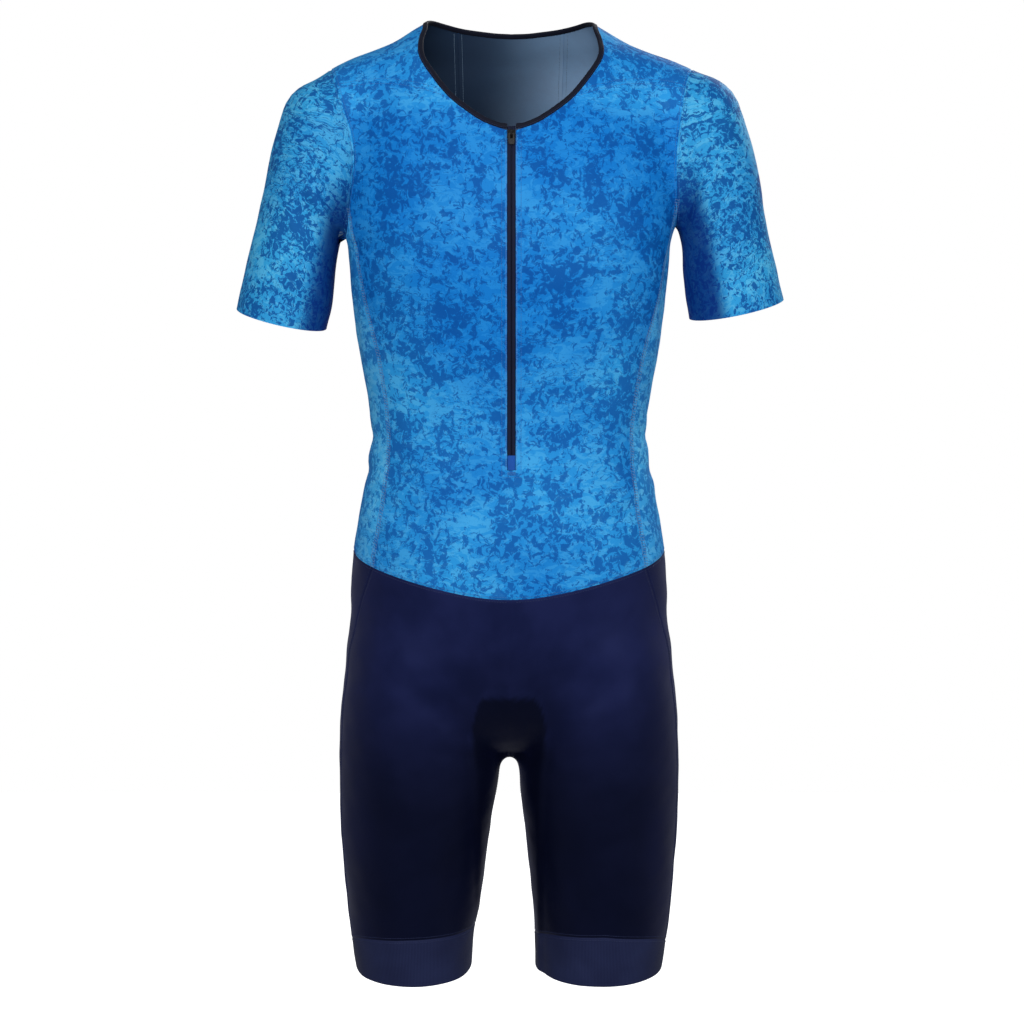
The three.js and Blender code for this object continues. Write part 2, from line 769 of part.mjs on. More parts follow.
// Materials

const material = (color, roughness, metalness = 0) =>
  new THREE.MeshStandardMaterial({ color, roughness, metalness });
const PRINT = material(0x1f7fcf, 0.55);
const NAVY = material(0x14162e, 0.6);
const BAND = material(0x20243f, 0.65);
const TRIM = material(0x0d0f1c, 0.7);
const METAL = material(0x2a2622, 0.4, 0.7);
const STOP = material(0x1f4fae, 0.6);
const FOAM = material(0x0b0c14, 0.85);

const suit = new THREE.Group();

function piece(name, geometry, look) {
  const mesh = new THREE.Mesh(geometry, look);
  mesh.name = name;
  suit.add(mesh);
  return mesh;
}

// Body of the suit

const slot = Object.fromEntries(SIDES.map((side) => [side, slotEdge(side)]));
const sideFront = Object.fromEntries(ARMS.map((arm) => [arm.side, sideSeam(arm, true)]));
const sideBack = Object.fromEntries(ARMS.map((arm) => [arm.side, sideSeam(arm, false)]));
const shoulder = Object.fromEntries(ARMS.map((arm) => [arm.side, shoulderSeam(arm)]));
const middleBack = Object.fromEntries(SIDES.map((side) => [side, backSeam(side)]));

const armhole = Object.fromEntries(
  ARMS.map((arm) => {
    const { sideFront: low, shoulder: high, sideBack: behind } = ARMHOLE_ANGLE;
    return [
      arm.side,
      {
        front: armholeArc(arm, STEPS.armholeFront, low, high),
        back: armholeArc(arm, STEPS.armholeBack, behind, high),
        under: armholeArc(arm, STEPS.armholeUnder, low, behind - 360),
      },
    ];
  }),
);

const neckFront = (side) =>
  neckArc(side, STEPS.neckFront, NECK_AT_SHOULDER_SEAM, NECK_AT_ZIP);
const neckSide = (side) =>
  neckArc(side, STEPS.neckSide, NECK_AT_BACK_SEAM, NECK_AT_SHOULDER_SEAM);
const neckBack = (side) => neckArc(side, STEPS.backHalf, NECK_AT_BACK_SEAM, NECKLINE.length - 1);

// The waist seam on one side, in the steps that the pieces above and below it share
function waistSeam(side) {
  const half = {
    frontSide: waistAngle(SIDE_SEAM_WAIST.front, true),
    slot: waistAngle(ZIP.slotHalf + side * CENTRE_FRONT, true),
    backSide: waistAngle(SIDE_SEAM_WAIST.back, false),
    middle: waistAngle(BACK_SEAM_HALF.waist, false),
  };
  const arc = (steps, from, to) => waistArc(steps, side * from, side * to);
  return {
    front: arc(STEPS.shoulderSeam + STEPS.neckFront, half.frontSide, half.slot),
    side: arc(STEPS.armholeUnder, half.frontSide, half.backSide),
    backSide: arc(STEPS.shoulderSeam, half.backSide, half.middle),
    backMiddle: arc(STEPS.backHalf, half.middle, 180),
  };
}
const waist = Object.fromEntries(SIDES.map((side) => [side, waistSeam(side)]));

function front() {
  const sheet = new Sheet();
  for (const side of SIDES) {
    const bottom = waist[side].front;
    const top = joined(shoulder[side], neckFront(side));
    const outer = joined(sideFront[side], armhole[side].front);
    sheet.add(patch(bottom, top, outer, slot[side]));
  }
  const below = slot[-1].slice(0, STEPS.slotEndRow + 1);
  sheet.add(below.map((p, j) => [p, slot[1][j]]));
  piece("front", cloth(sheet), PRINT);
}

function backSidePiece(side) {
  const outer = joined(sideBack[side], armhole[side].back);
  const inner = joined(middleBack[side], neckSide(side));
  const grid = patch(waist[side].backSide, shoulder[side], outer, inner);
  piece(`back_${sideName(side)}`, cloth(new Sheet().add(grid)), PRINT);
}

function backMiddlePiece() {
  const bottom = joined(waist[-1].backMiddle, reversed(waist[1].backMiddle));
  const top = joined(neckBack(-1), reversed(neckBack(1)));
  const grid = patch(bottom, top, middleBack[-1], middleBack[1]);
  piece("back_middle", cloth(new Sheet().add(grid)), PRINT);
}

function sidePiece(side) {
  const grid = patch(waist[side].side, armhole[side].under, sideFront[side], sideBack[side]);
  piece(`side_${sideName(side)}`, cloth(new Sheet().add(grid)), PRINT);
}

// A sleeve runs from its armhole down to a hem that has a point below each point of the armhole
function sleeve(arm, frame) {
  const { sideFront: low, shoulder: high, sideBack: behind } = ARMHOLE_ANGLE;
  const { front: up, back, under } = armhole[arm.side];
  const ring = joined(joined(up, reversed(back)), reversed(under));
  const angles = joined(
    joined(sample(STEPS.armholeFront, (t) => mix(low, high, t)), sample(STEPS.armholeBack, (t) => mix(high, behind, t))),
    sample(STEPS.armholeUnder, (t) => mix(behind, low + 360, t)),
  );
  const hem = angles.map((degrees) => {
    const angle = radians(degrees);
    const way = frame.across
      .clone()
      .multiplyScalar(Math.sin(angle))
      .addScaledVector(frame.depth, -Math.cos(angle));
    const dip = SLEEVE_HEM_DIP * Math.cos(angle);
    return cast(frame.hem.clone().addScaledVector(frame.along, dip), way);
  });
  const grid = tube(ring, hem, STEPS.sleeve);
  piece(`sleeve_${sideName(arm.side)}`, cloth(new Sheet().add(grid)), PRINT);
}

// Shorts

const legFrontSeam = Object.fromEntries(SIDES.map((side) => [side, legSideSeam(side, true)]));
const legBackSeam = Object.fromEntries(SIDES.map((side) => [side, legSideSeam(side, false)]));
const legInseam = Object.fromEntries(SIDES.map((side) => [side, inseam(side)]));
// Round the leg, in the steps that the shorts and the gripper band share
function legRing(side, height) {
  const arc = (steps, from, to) => legArc(side, steps, from, to, height);
  return {
    front: arc(waist[side].front.length, gripperAngles.front, INSEAM.angle - 360),
    side: arc(STEPS.armholeUnder, gripperAngles.front, gripperAngles.back),
    back: arc(STEPS.shoulderSeam + STEPS.backHalf, gripperAngles.back, INSEAM.angle),
  };
}

const centreFront = slot[-1][0].clone().lerp(slot[1][0], 0.5);

function shortsFront() {
  const middle = riseSeam(centreFront, true);
  const sheet = new Sheet();
  for (const side of SIDES) {
    const top = [...waist[side].front, centreFront];
    const inner = joined(middle, legInseam[side]);
    const bottom = legRing(side, gripperHeight).front;
    sheet.add(patch(bottom, top, reversed(legFrontSeam[side]), reversed(inner)));
  }
  piece("shorts_front", cloth(sheet), NAVY);
  return sheet;
}

function shortsBack() {
  const middle = riseSeam(waistPoint(180), false);
  const sheet = new Sheet();
  for (const side of SIDES) {
    const top = joined(waist[side].backSide, waist[side].backMiddle);
    const inner = joined(middle, legInseam[side]);
    const bottom = legRing(side, gripperHeight).back;
    sheet.add(patch(bottom, top, reversed(legBackSeam[side]), reversed(inner)));
  }
  piece("shorts_back", cloth(sheet), NAVY);
  return sheet;
}

function shortsSidePiece(side) {
  const bottom = legRing(side, gripperHeight).side;
  const grid = patch(bottom, waist[side].side, reversed(legFrontSeam[side]), reversed(legBackSeam[side]));
  piece(`shorts_side_${sideName(side)}`, cloth(new Sheet().add(grid)), NAVY);
}

function gripper(side) {
  const whole = (ring) => joined(joined(ring.side, ring.back), reversed(ring.front));
  const grid = tube(whole(legRing(side, gripperHeight)), whole(legRing(side, hemHeight)), STEPS.gripper);
  piece(`gripper_${sideName(side)}`, cloth(new Sheet().add(grid)), BAND);
}

// Trim

// A ribbon of even width along a line on the form. Its two ends run straight up.
function ribbon(line, width, towards) {
  const last = line.length - 1;
  return line.map((p, i) => {
    const normal = normalAt(p);
    const along = line[Math.min(i + 1, last)].clone().sub(line[Math.max(i - 1, 0)]).normalize();
    const way = new THREE.Vector3().crossVectors(normal, along).normalize();
    if (way.dot(towards.clone().sub(p)) < 0) way.negate();
    if (i === 0 || i === last) way.copy(AXES[2]).addScaledVector(normal, -normal.z).normalize();
    const edge = [0.5, 1].map((share) => settle(p.clone().addScaledVector(way, width * share)));
    return [p, ...edge];
  });
}

function neckBinding() {
  const oneSide = (side) =>
    joined(joined(reversed(neckFront(side)), reversed(neckSide(side))), neckBack(side));
  const line = joined(oneSide(-1), reversed(oneSide(1)));
  const sheet = new Sheet().add(ribbon(line, BINDING.width, NECK_TOP));
  piece("neck_binding", wall(sheet, BINDING.thickness / 2, BINDING.thickness / 2), TRIM);
}

function zipTape() {
  const top = neckPoint(1, NECK_AT_ZIP).z + BINDING.width * TAPE_IN_BINDING;
  const strip = (from, to, steps) =>
    sample(steps, (t) =>
      TAPE_SHARES.map((share) => {
        const z = mix(from, to, t);
        return facing(share * (ZIP.tapeHalf + SEAM_GAP / 2) + CENTRE_FRONT, z, true);
      }),
    );
  const tape = new Sheet().add(strip(ZIP.tapeEnd, top, ZIP.rows));
  piece("zip_tape", wall(tape, ZIP.tape / 2, ZIP.tape / 2), TRIM);
  const stop = new Sheet().add(strip(ZIP.slotEnd + SEAM_GAP, ZIP.tapeEnd, ZIP.tabRows));
  piece("zip_end", wall(stop, ZIP.tab / 2, ZIP.tab / 2), STOP);
}

// A solid from a closed outline drawn in (depth, height), as thick as given along X and centred on it
function slab(outline, width, hole) {
  const shape = new THREE.Shape(outline.map(([a, b]) => new THREE.Vector2(a, b)));
  if (hole) shape.holes.push(new THREE.Path(hole.map(([a, b]) => new THREE.Vector2(a, b))));
  const solid = new THREE.ExtrudeGeometry(shape, { depth: width, bevelEnabled: false });
  return solid.translate(0, 0, -width / 2);
}

const wasm = await Module();
wasm.setup();

function solidOf(geometry) {
  const bare = geometry.index ? geometry.toNonIndexed() : geometry.clone();
  bare.deleteAttribute("normal");
  bare.deleteAttribute("uv");
  const merged = mergeVertices(bare, 1e-4);
  return new wasm.Manifold(
    new wasm.Mesh({
      numProp: 3,
      vertProperties: merged.attributes.position.array,
      triVerts: new Uint32Array(merged.index.array),
    }),
  );
}

function geometryOf(solid) {
  const mesh = solid.getMesh();
  const geometry = new THREE.BufferGeometry();
  geometry.setAttribute("position", new THREE.BufferAttribute(mesh.vertProperties, 3));
  geometry.setIndex(new THREE.BufferAttribute(mesh.triVerts, 1));
  return geometry;
}

function roundedRectangle(width, height, radius, y = 0) {
  const points = [];
  const corners = [
    [1, 1, 0],
    [-1, 1, 90],
    [-1, -1, 180],
    [1, -1, 270],
  ];
  for (const [sx, sy, start] of corners) {
    for (const step of [0, 30, 60, 90]) {
      const angle = radians(start + step);
      points.push([
        sx * (width / 2 - radius) + radius * Math.cos(angle),
        y + sy * (height / 2 - radius) + radius * Math.sin(angle),
      ]);
    }
  }
  return points;
}

// The slider and its pull tab, drawn lying flat: X across, Y up the zip and Z out of the cloth
function sliderGeometry() {
  const body = slab(roundedRectangle(SLIDER.width, SLIDER.length, SLIDER.corner), SLIDER.thickness);
  const reach = SLIDER.thickness / 2;
  const { length, height, hole, wall: thick, sunk } = CROWN;
  const middle = height - thick - hole / 2;
  const arch = [
    [-sunk, -length / 2],
    [-sunk, length / 2],
    [height * CROWN.shoulder, length / 2],
    [height, length / 4],
    [height, -length / 4],
    [height * CROWN.shoulder, -length / 2],
  ];
  const window = roundedRectangle(hole, hole, hole / 5).map(([a, b]) => [a + middle, b]);
  const crown = slab(arch, CROWN.width, window);
  crown.rotateY(-Math.PI / 2).translate(0, 0, reach);
  return { geometry: geometryOf(solidOf(body).add(solidOf(crown))), hinge: reach + middle };
}

function pullGeometry() {
  const { width, length, eyeWidth, eyeLength, bar, thickness, corner } = PULL;
  const outline = roundedRectangle(width, length, corner, bar / 2 - length / 2);
  const eye = roundedRectangle(eyeWidth, eyeLength, corner / 4, -bar / 2 - eyeLength / 2);
  return slab(outline, thickness, eye);
}

function zipSlider() {
  const z = neckPoint(1, NECK_AT_ZIP).z - SLIDER.below + SLIDER.length / 2;
  const base = facing(CENTRE_FRONT, z, true);
  const out = normalAt(base);
  const slider = sliderGeometry();
  const frame = new THREE.Group();
  const lift = ZIP.tape / 2 + SLIDER.lift + SLIDER.thickness / 2;
  frame.position.copy(base).addScaledVector(out, lift);
  out.setX(0).normalize();
  const up = new THREE.Vector3(0, out.z, -out.y);
  frame.setRotationFromMatrix(new THREE.Matrix4().makeBasis(AXES[0], up, out));
  const body = new THREE.Mesh(slider.geometry, METAL);
  body.name = "zip_slider";
  const pull = new THREE.Mesh(pullGeometry(), METAL);
  pull.name = "zip_pull";
  pull.position.z = slider.hinge;
  pull.rotation.x = radians(PULL.droop);
  frame.add(body, pull);
  suit.add(frame);
}

// The pad lies inside the cloth, from the front of the crotch under it to the seat. Its outer face
// is cut to the inside of the shorts.
function seatPad(shorts) {
  const centre = new THREE.Vector3(0, HIPS.y, HIPS.z);
  const slope = (z, toFront) => Math.asin((centre.z - z) / centre.distanceTo(facing(0, z, toFront)));
  const start = slope(PAD.front, true);
  const finish = Math.PI - slope(PAD.back, false);
  const grid = sample(PAD.rows, (t) => {
    const turn = mix(start, finish, t);
    const way = new THREE.Vector3(0, -Math.cos(turn), -Math.sin(turn));
    const middle = cast(centre, way);
    const half = column(PAD_HALF, "half", t, "at");
    return sample(PAD.columns, (u) => {
      const x = (2 * u - 1) * half;
      const spot = middle.clone().setX(x * PAD.narrowing);
      return settle(spot.addScaledVector(way, Math.abs(x) * PAD.droop));
    });
  });
  const sheet = new Sheet().add(grid);
  const onRim = new Set(sheet.rim().flat());
  const depth = sheet.points.map((_, k) => (onRim.has(k) ? PAD.edge : PAD.thickness));
  let pad = solidOf(wall(sheet, -PAD.tuck, depth));
  for (const cover of shorts) pad = pad.subtract(solidOf(wall(cover, PAD.reach, CLOTH / 2 + SEAM_GAP, 0)));
  const whole = pad.decompose().sort((a, b) => b.volume() - a.volume())[0];
  piece("seat_pad", geometryOf(whole), FOAM);
}

front();
backMiddlePiece();
for (const side of SIDES) {
  backSidePiece(side);
  sidePiece(side);
  shortsSidePiece(side);
  gripper(side);
}
ARMS.forEach((arm, i) => sleeve(arm, ARM_FRAMES[i]));
const shorts = [shortsFront(), shortsBack()];
neckBinding();
zipTape();
zipSlider();
seatPad(shorts);

export default suit;
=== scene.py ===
import math

import bpy
import numpy as np
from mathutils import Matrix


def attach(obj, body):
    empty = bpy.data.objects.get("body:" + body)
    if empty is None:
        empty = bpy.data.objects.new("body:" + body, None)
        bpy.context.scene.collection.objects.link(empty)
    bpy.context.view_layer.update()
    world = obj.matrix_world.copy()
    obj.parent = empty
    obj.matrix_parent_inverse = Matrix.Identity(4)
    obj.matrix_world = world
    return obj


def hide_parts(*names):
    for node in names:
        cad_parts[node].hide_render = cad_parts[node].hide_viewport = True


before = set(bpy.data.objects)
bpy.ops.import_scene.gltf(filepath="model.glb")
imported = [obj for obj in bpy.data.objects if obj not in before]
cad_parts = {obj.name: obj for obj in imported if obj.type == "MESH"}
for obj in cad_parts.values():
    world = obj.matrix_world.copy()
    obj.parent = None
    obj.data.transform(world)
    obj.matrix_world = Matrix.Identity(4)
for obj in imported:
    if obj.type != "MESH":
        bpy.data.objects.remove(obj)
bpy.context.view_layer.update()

MM = 0.001
SUIT = "suit"
PULL_BODY = "pull"
SIDES = (-1, 1)
FINE = 5
SHELL = 1.0
UV_NAME = "cut"
SHADE_NAME = "shade"


def table(names, *rows):
    """A table of numbers with named columns, as one array for each column."""
    return {name: np.array([row[i] for row in rows], float) for i, name in enumerate(names.split())}


TORSO = table(
    "z half front back mid power",
    (22, 58, -2, 42, 16, 2),
    (3, 87.5, -24, 56, 14, 2),
    (-17, 121, -42, 69, 11, 2),
    (-33, 159, -55, 80, 9, 2),
    (-45, 171, -62, 86, 8, 2.1),
    (-62, 174, -72, 94, 6, 2.1),
    (-101, 173, -89, 107, 3, 2.2),
    (-150, 170, -105, 114, 0, 2.3),
    (-200, 168, -114.5, 111, 0, 2.35),
    (-222, 163.5, -116, 108, 0, 2.4),
    (-255, 161, -116, 102, 0, 2.4),
    (-317, 154, -109, 90, 0, 2.3),
    (-378, 143.5, -101, 81, 0, 2.2),
    (-415, 140.5, -99, 79, 0, 2.2),
    (-471, 149, -101, 85, 0, 2.2),
    (-533, 159.5, -104, 101, 0, 2.2),
    (-595, 162, -101, 114, 2, 2.2),
    (-650, 150, -92, 116, 6, 2.2),
    (-695, 112, -76, 102, 10, 2.1),
    (-720, 64, -52, 82, 12, 2),
    (-738, 24, -20, 46, 12, 2),
)
LEG = table(
    "z outer inner_left inner_right front back",
    (-590, 140, 30, 30, -70, 70),
    (-630, 163, 12, 12, -88, 98),
    (-660, 169, 9, 8, -92, 108),
    (-700, 173.5, 11, 9, -92, 107),
    (-752, 175.5, 14, 12, -89, 99),
    (-784, 175, 15, 16, -87, 93),
    (-816, 174.5, 19, 22, -84, 87),
    (-879, 170, 25.5, 30, -78, 78),
    (-925, 165.5, 29.5, 36.5, -72, 72),
    (-950, 162, 30, 38.5, -69, 69),
    (-985, 157, 31, 40, -65, 65),
)
LEG_POWER = 2.1
LEG_BLEND = 26
ARM_RINGS = {
    -1: table(
        "at half out depth",
        (0, 45.5, 1, 54),
        (0.15, 47.5, 1.5, 55),
        (0.35, 45.5, 2.5, 54),
        (0.6, 43.3, 4.2, 51),
        (0.86, 46.5, 1.7, 49),
        (1, 46.5, 1.2, 48),
    ),
    1: table(
        "at half out depth",
        (0, 45, 1, 54),
        (0.15, 48, 1.5, 55),
        (0.35, 48, 3, 54),
        (0.6, 44, 4.2, 51),
        (0.8, 46.8, 1.9, 49.5),
        (1, 48.3, 1, 48),
    ),
}
ARM_LEAN = {-1: 0.17, 1: 0.08}
ARM_ENDS = {
    -1: (np.array([-184.0, 6, -95]), np.array([-231.0, -4, -295])),
    1: (np.array([190.0, 6, -92]), np.array([231.0, -4, -285])),
}
ARMHOLE = table(
    "at right left",
    (-128, 167, 166.5),
    (-110, 168.5, 169.5),
    (-90, 168.5, 170),
    (-70, 168, 170),
    (-50, 160.8, 169),
    (-20, 155, 168),
    (0, 155.5, 168.5),
    (18, 159, 170.5),
    (36, 165.5, 173),
    (54, 172, 177),
    (90, 181, 186),
    (130, 174, 179),
    (180, 161, 167),
    (215, 164, 167),
    (232, 167, 166.5),
)
ARM_BLEND = table("z width", (-40, 38), (-60, 30), (-85, 18), (-110, 16), (-160, 12), (-195, 6))
ARM_BLEND_WIDENING = 0.35
NECKLINE = table(
    "at x y z",
    (0, 0, -88, -107),
    (1, 24, -82, -97),
    (2, 41, -73, -84),
    (3, 53, -60, -69),
    (4, 62, -47, -53),
    (5, 71, -32, -36),
    (6, 79, -17, -20),
    (7, 84, -3, -5),
    (8, 85, 12, 1),
    (9, 79, 30, 3),
    (10, 69, 42, 1),
    (11, 55, 51, -2),
    (12, 38, 58, -4),
    (13, 19, 62, -6),
    (14, 0, 63, -7),
)
NECK_CENTRE = np.array([0.0, 4, -48])
NECK_TOP = np.array([0.0, 10, 40])
NECK_AT_ZIP = 0.165
NECK_AT_SHOULDER_SEAM = 3.1
NECK_AT_BACK_SEAM = 11
NECK_AT_BACK = 14
CENTRE_FRONT = 2.5
SIDE_SEAM = table(
    "z front back",
    (-150, 160, 155),
    (-190, 157, 151),
    (-222, 151, 144),
    (-271, 143, 132),
    (-339, 128, 120),
    (-409, 121, 113),
    (-470, 127, 117),
    (-540, 140, 128),
)
LEG_SIDE_SEAM = table(
    "z front back",
    (-540, 56, 128),
    (-600, 66, 122),
    (-680, 70, 118),
    (-760, 72, 116),
    (-930, 74, 114),
)
GRIPPER_SEAM = table(
    "at right left",
    (0, -925, -922),
    (45, -929, -929),
    (90, -938, -941),
    (135, -934, -937),
    (180, -928, -931),
    (225, -926, -931),
    (270, -924, -932),
    (315, -924, -925),
    (360, -925, -922),
)
WAIST = {"side": -531, "front_dip": 41, "back_dip": -6}
SIDE_SEAM_WAIST = {"front": 138, "back": 128}
BACK_SEAM_WAIST = 46
ARMHOLE_CENTRE = {"y": 6, "z": -122}
ARMHOLE_ANGLE = {"side_front": -50, "shoulder": 54, "side_back": 232}
SHOULDER_SEAM_RISE = 9
CROTCH_Y = 10
HEM = {"height": -966, "front_dip": 9}
SLEEVE_HEM_DIP = 8
INSEAM_ANGLE = 268
ZIP = {"slot_half": 4.3, "tape_half": 4.0, "slot_end": -443, "tape_end": -428}
BINDING = {"width": 5.5, "thickness": 3.2}
STEPS = {
    "side_seam": 15,
    "armhole_front": 8,
    "armhole_back": 11,
    "armhole_under": 5,
    "shoulder_seam": 5,
    "neck_front": 5,
    "neck_side": 8,
    "back_seam": 18,
    "back_half": 3,
    "sleeve": 13,
    "rise": 9,
    "inseam": 9,
    "gripper": 3,
    "slot_end_row": 6,
}


# Tables and curves


def curve_weights(xs, at):
    """For each place, the four rows that a smooth curve through the rows uses there, and their weights."""
    last = len(xs) - 1
    i = np.clip(np.searchsorted(xs, at, side="right") - 1, 0, last - 1)
    low = np.maximum(i - 1, 0)
    high = np.minimum(i + 2, last)
    span = xs[i + 1] - xs[i]
    t = np.clip((at - xs[i]) / span, 0, 1)
    h = t * t * (3 - 2 * t)
    rise = t * (1 - t) ** 2 * span / (xs[i + 1] - xs[low])
    fall = t * t * (1 - t) * span / (xs[high] - xs[i])
    return (low, i, i + 1, high), (-rise, 1 - h + fall, h + rise, -fall)


def smooth_curve(xs, ys, at):
    rows, weights = curve_weights(xs, at)
    return sum(ys[row] * weight for row, weight in zip(rows, weights))


LOOKUP_STEPS = 4000
lookups = {}


def column(rows, key, at, by="z"):
    """The value in one column at a height or share, on a smooth curve through the rows."""
    found = lookups.get((id(rows), key))
    if found is None:
        order = np.argsort(rows[by])
        xs = rows[by][order]
        places = np.linspace(xs[0], xs[-1], LOOKUP_STEPS)
        found = (places, smooth_curve(xs, rows[key][order], places))
        lookups[(id(rows), key)] = found
    return np.interp(at, *found)


def side_name(side):
    return "left" if side > 0 else "right"


def mix(a, b, t):
    return a + (b - a) * t


def unit(vectors):
    return vectors / np.maximum(np.linalg.norm(vectors, axis=-1, keepdims=True), 1e-12)


def vectors_of(x, y, z):
    return np.stack(np.broadcast_arrays(np.asarray(x, float), y, z), -1)


# The body form: below zero inside it, zero on the cloth and above zero outside


def smooth_min(a, b, blend):
    h = np.maximum(blend - np.abs(a - b), 0) / blend
    return np.minimum(a, b) - h * h * blend / 4


def oval_distance(dx, dy, half, front, back, power):
    depth = np.where(dy < 0, front, back)
    far = np.hypot(dx, dy)
    share = (np.abs(dx) / half) ** power + (np.abs(dy) / depth) ** power
    return np.where(far < 1e-9, -half, far * (1 - np.maximum(share, 1e-12) ** (-1 / power)))


def capped_distance(distance, beyond):
    return np.where(beyond <= 0, distance, np.hypot(np.maximum(distance, 0), beyond))


def torso_distance(p):
    x, y, z = p[..., 0], p[..., 1], p[..., 2]
    mid = column(TORSO, "mid", z)
    flat = oval_distance(
        x,
        y - mid,
        column(TORSO, "half", z),
        mid - column(TORSO, "front", z),
        column(TORSO, "back", z) - mid,
        column(TORSO, "power", z),
    )
    return capped_distance(flat, np.maximum(z - TORSO["z"][0], TORSO["z"][-1] - z))


def leg_distance(p, side):
    x, y, z = p[..., 0], p[..., 1], p[..., 2]
    outer = column(LEG, "outer", z)
    inner = column(LEG, "inner_" + side_name(side), z)
    flat = oval_distance(
        x - side * (outer + inner) / 2,
        y,
        (outer - inner) / 2,
        -column(LEG, "front", z),
        column(LEG, "back", z),
        LEG_POWER,
    )
    return capped_distance(flat, z - LEG["z"][0])


def arm_frame(side):
    """An arm's own directions: along it, across it away from the body, and its depth."""
    shoulder, hem = ARM_ENDS[side]
    length = np.linalg.norm(hem - shoulder)
    along = (hem - shoulder) / length
    depth = unit(np.array([0.0, 1, 0]) - along * along[1])
    across = unit(np.cross(along, depth))
    if across[0] * side < 0:
        across = -across
    return {
        "shoulder": shoulder,
        "hem": hem,
        "length": length,
        "along": along,
        "across": across,
        "depth": depth,
    }


ARM_FRAMES = {side: arm_frame(side) for side in SIDES}


def arm_distance(p, side):
    arm = ARM_FRAMES[side]
    rings = ARM_RINGS[side]
    start = p - arm["shoulder"]
    along = start @ arm["along"]
    above = np.minimum(along, 0)
    at = np.maximum(along, 0) / arm["length"]
    half = column(rings, "half", at, "at")
    depth = column(rings, "depth", at, "at")
    out = start @ arm["across"] - column(rings, "out", at, "at") + ARM_LEAN[side] * above * above / half
    return oval_distance(np.hypot(out, above), start @ arm["depth"], half, depth, depth, 2)


def body_distance(p):
    d = torso_distance(p)
    blend = column(ARM_BLEND, "width", p[..., 2]) + ARM_BLEND_WIDENING * np.minimum(np.abs(p[..., 1]), 60)
    for side in SIDES:
        d = smooth_min(d, arm_distance(p, side), blend)
    for side in SIDES:
        d = smooth_min(d, leg_distance(p, side), LEG_BLEND)
    return d


def gradient(p, step=0.1):
    parts = []
    for axis in np.eye(3):
        parts.append((body_distance(p + axis * step) - body_distance(p - axis * step)) / (2 * step))
    return np.stack(parts, -1)


def normals_at(p):
    return unit(gradient(p))


def settle(p, rounds=5):
    """Slides points that are near the form onto it."""
    q = p.copy()
    for _ in range(rounds):
        d = body_distance(q)
        if np.abs(d).max() < 1e-3:
            break
        g = gradient(q)
        q -= g * (d / np.maximum((g * g).sum(-1), 0.05))[..., None]
    return q


def cast(start, direction):
    """Where straight lines from inside the form leave it."""
    start, way = np.broadcast_arrays(np.asarray(start, float), unit(np.asarray(direction, float)))
    inside = np.zeros(start.shape[:-1])
    outside = np.full_like(inside, 8.0)
    for _ in range(60):
        still = body_distance(start + way * outside[..., None]) < 0
        if not still.any():
            break
        inside = np.where(still, outside, inside)
        outside = np.where(still, outside + 8, outside)
    for _ in range(22):
        middle = (inside + outside) / 2
        within = body_distance(start + way * middle[..., None]) < 0
        inside = np.where(within, middle, inside)
        outside = np.where(within, outside, middle)
    return start + way * ((inside + outside) / 2)[..., None]


def facing(x, z, to_front):
    """The points of the front or back at given widths and heights."""
    start = vectors_of(x, column(TORSO, "mid", z), z)
    return cast(start, np.array([0.0, -1 if to_front else 1, 0]))


def shares(steps):
    return np.linspace(0, 1, steps * FINE + 1)


def joined(first, second):
    return np.concatenate([first, second[1:]])


# Seams, each a row of points with FINE of them to a step


def pinned(points, start=None, end=None):
    """The same points with their ends put exactly where they meet other seams."""
    if start is not None:
        points[0] = start
    if end is not None:
        points[-1] = end
    return points


def neck_points(side, at):
    target = vectors_of(
        side * column(NECKLINE, "x", at, "at") + CENTRE_FRONT,
        column(NECKLINE, "y", at, "at"),
        column(NECKLINE, "z", at, "at"),
    )
    return cast(NECK_CENTRE, target - NECK_CENTRE)


def armhole_points(side, degrees):
    angle = np.radians(degrees)
    x = column(ARMHOLE, side_name(side), degrees, "at")
    start = vectors_of(side * x, ARMHOLE_CENTRE["y"], ARMHOLE_CENTRE["z"])
    return cast(start, vectors_of(0, -np.cos(angle), np.sin(angle)))


def waist_height(facing_share):
    dip = np.where(facing_share > 0, WAIST["front_dip"], WAIST["back_dip"])
    return WAIST["side"] - dip * np.abs(facing_share) ** 1.2


def waist_points(degrees):
    angle = np.radians(degrees)
    z = waist_height(np.cos(angle))
    start = vectors_of(0, column(TORSO, "mid", z), z)
    return cast(start, vectors_of(np.sin(angle), -np.cos(angle), 0))


def waist_angle(half, to_front):
    """How far round the waist the seam has a given half width."""
    low, high = (0.0, 90.0) if to_front else (90.0, 180.0)
    for _ in range(24):
        middle = (low + high) / 2
        wide = waist_points(np.array([middle]))[0, 0] > half
        if wide == to_front:
            high = middle
        else:
            low = middle
    return (low + high) / 2


def side_seam(side, to_front):
    key = "front" if to_front else "back"
    start = waist_points(np.array([side * waist_angle(SIDE_SEAM_WAIST[key], to_front)]))[0]
    end = armhole_points(side, np.array([ARMHOLE_ANGLE["side_front" if to_front else "side_back"]]))[0]
    t = 1 - (1 - shares(STEPS["side_seam"])) ** 1.3
    z = mix(start[2], end[2], t)
    start_off = abs(start[0]) - column(SIDE_SEAM, key, start[2])
    end_off = abs(end[0]) - column(SIDE_SEAM, key, end[2])
    x = column(SIDE_SEAM, key, z) + mix(start_off, end_off, t)
    return pinned(facing(side * x, z, to_front), start, end)


def shoulder_seam(side):
    start = armhole_points(side, np.array([ARMHOLE_ANGLE["shoulder"]]))[0]
    end = neck_points(side, np.array([NECK_AT_SHOULDER_SEAM]))[0]
    t = shares(STEPS["shoulder_seam"])
    rise = SHOULDER_SEAM_RISE * 4 * t * (1 - t)
    return pinned(facing(mix(start[0], end[0], t), mix(start[2], end[2], t) + rise, True), start, end)


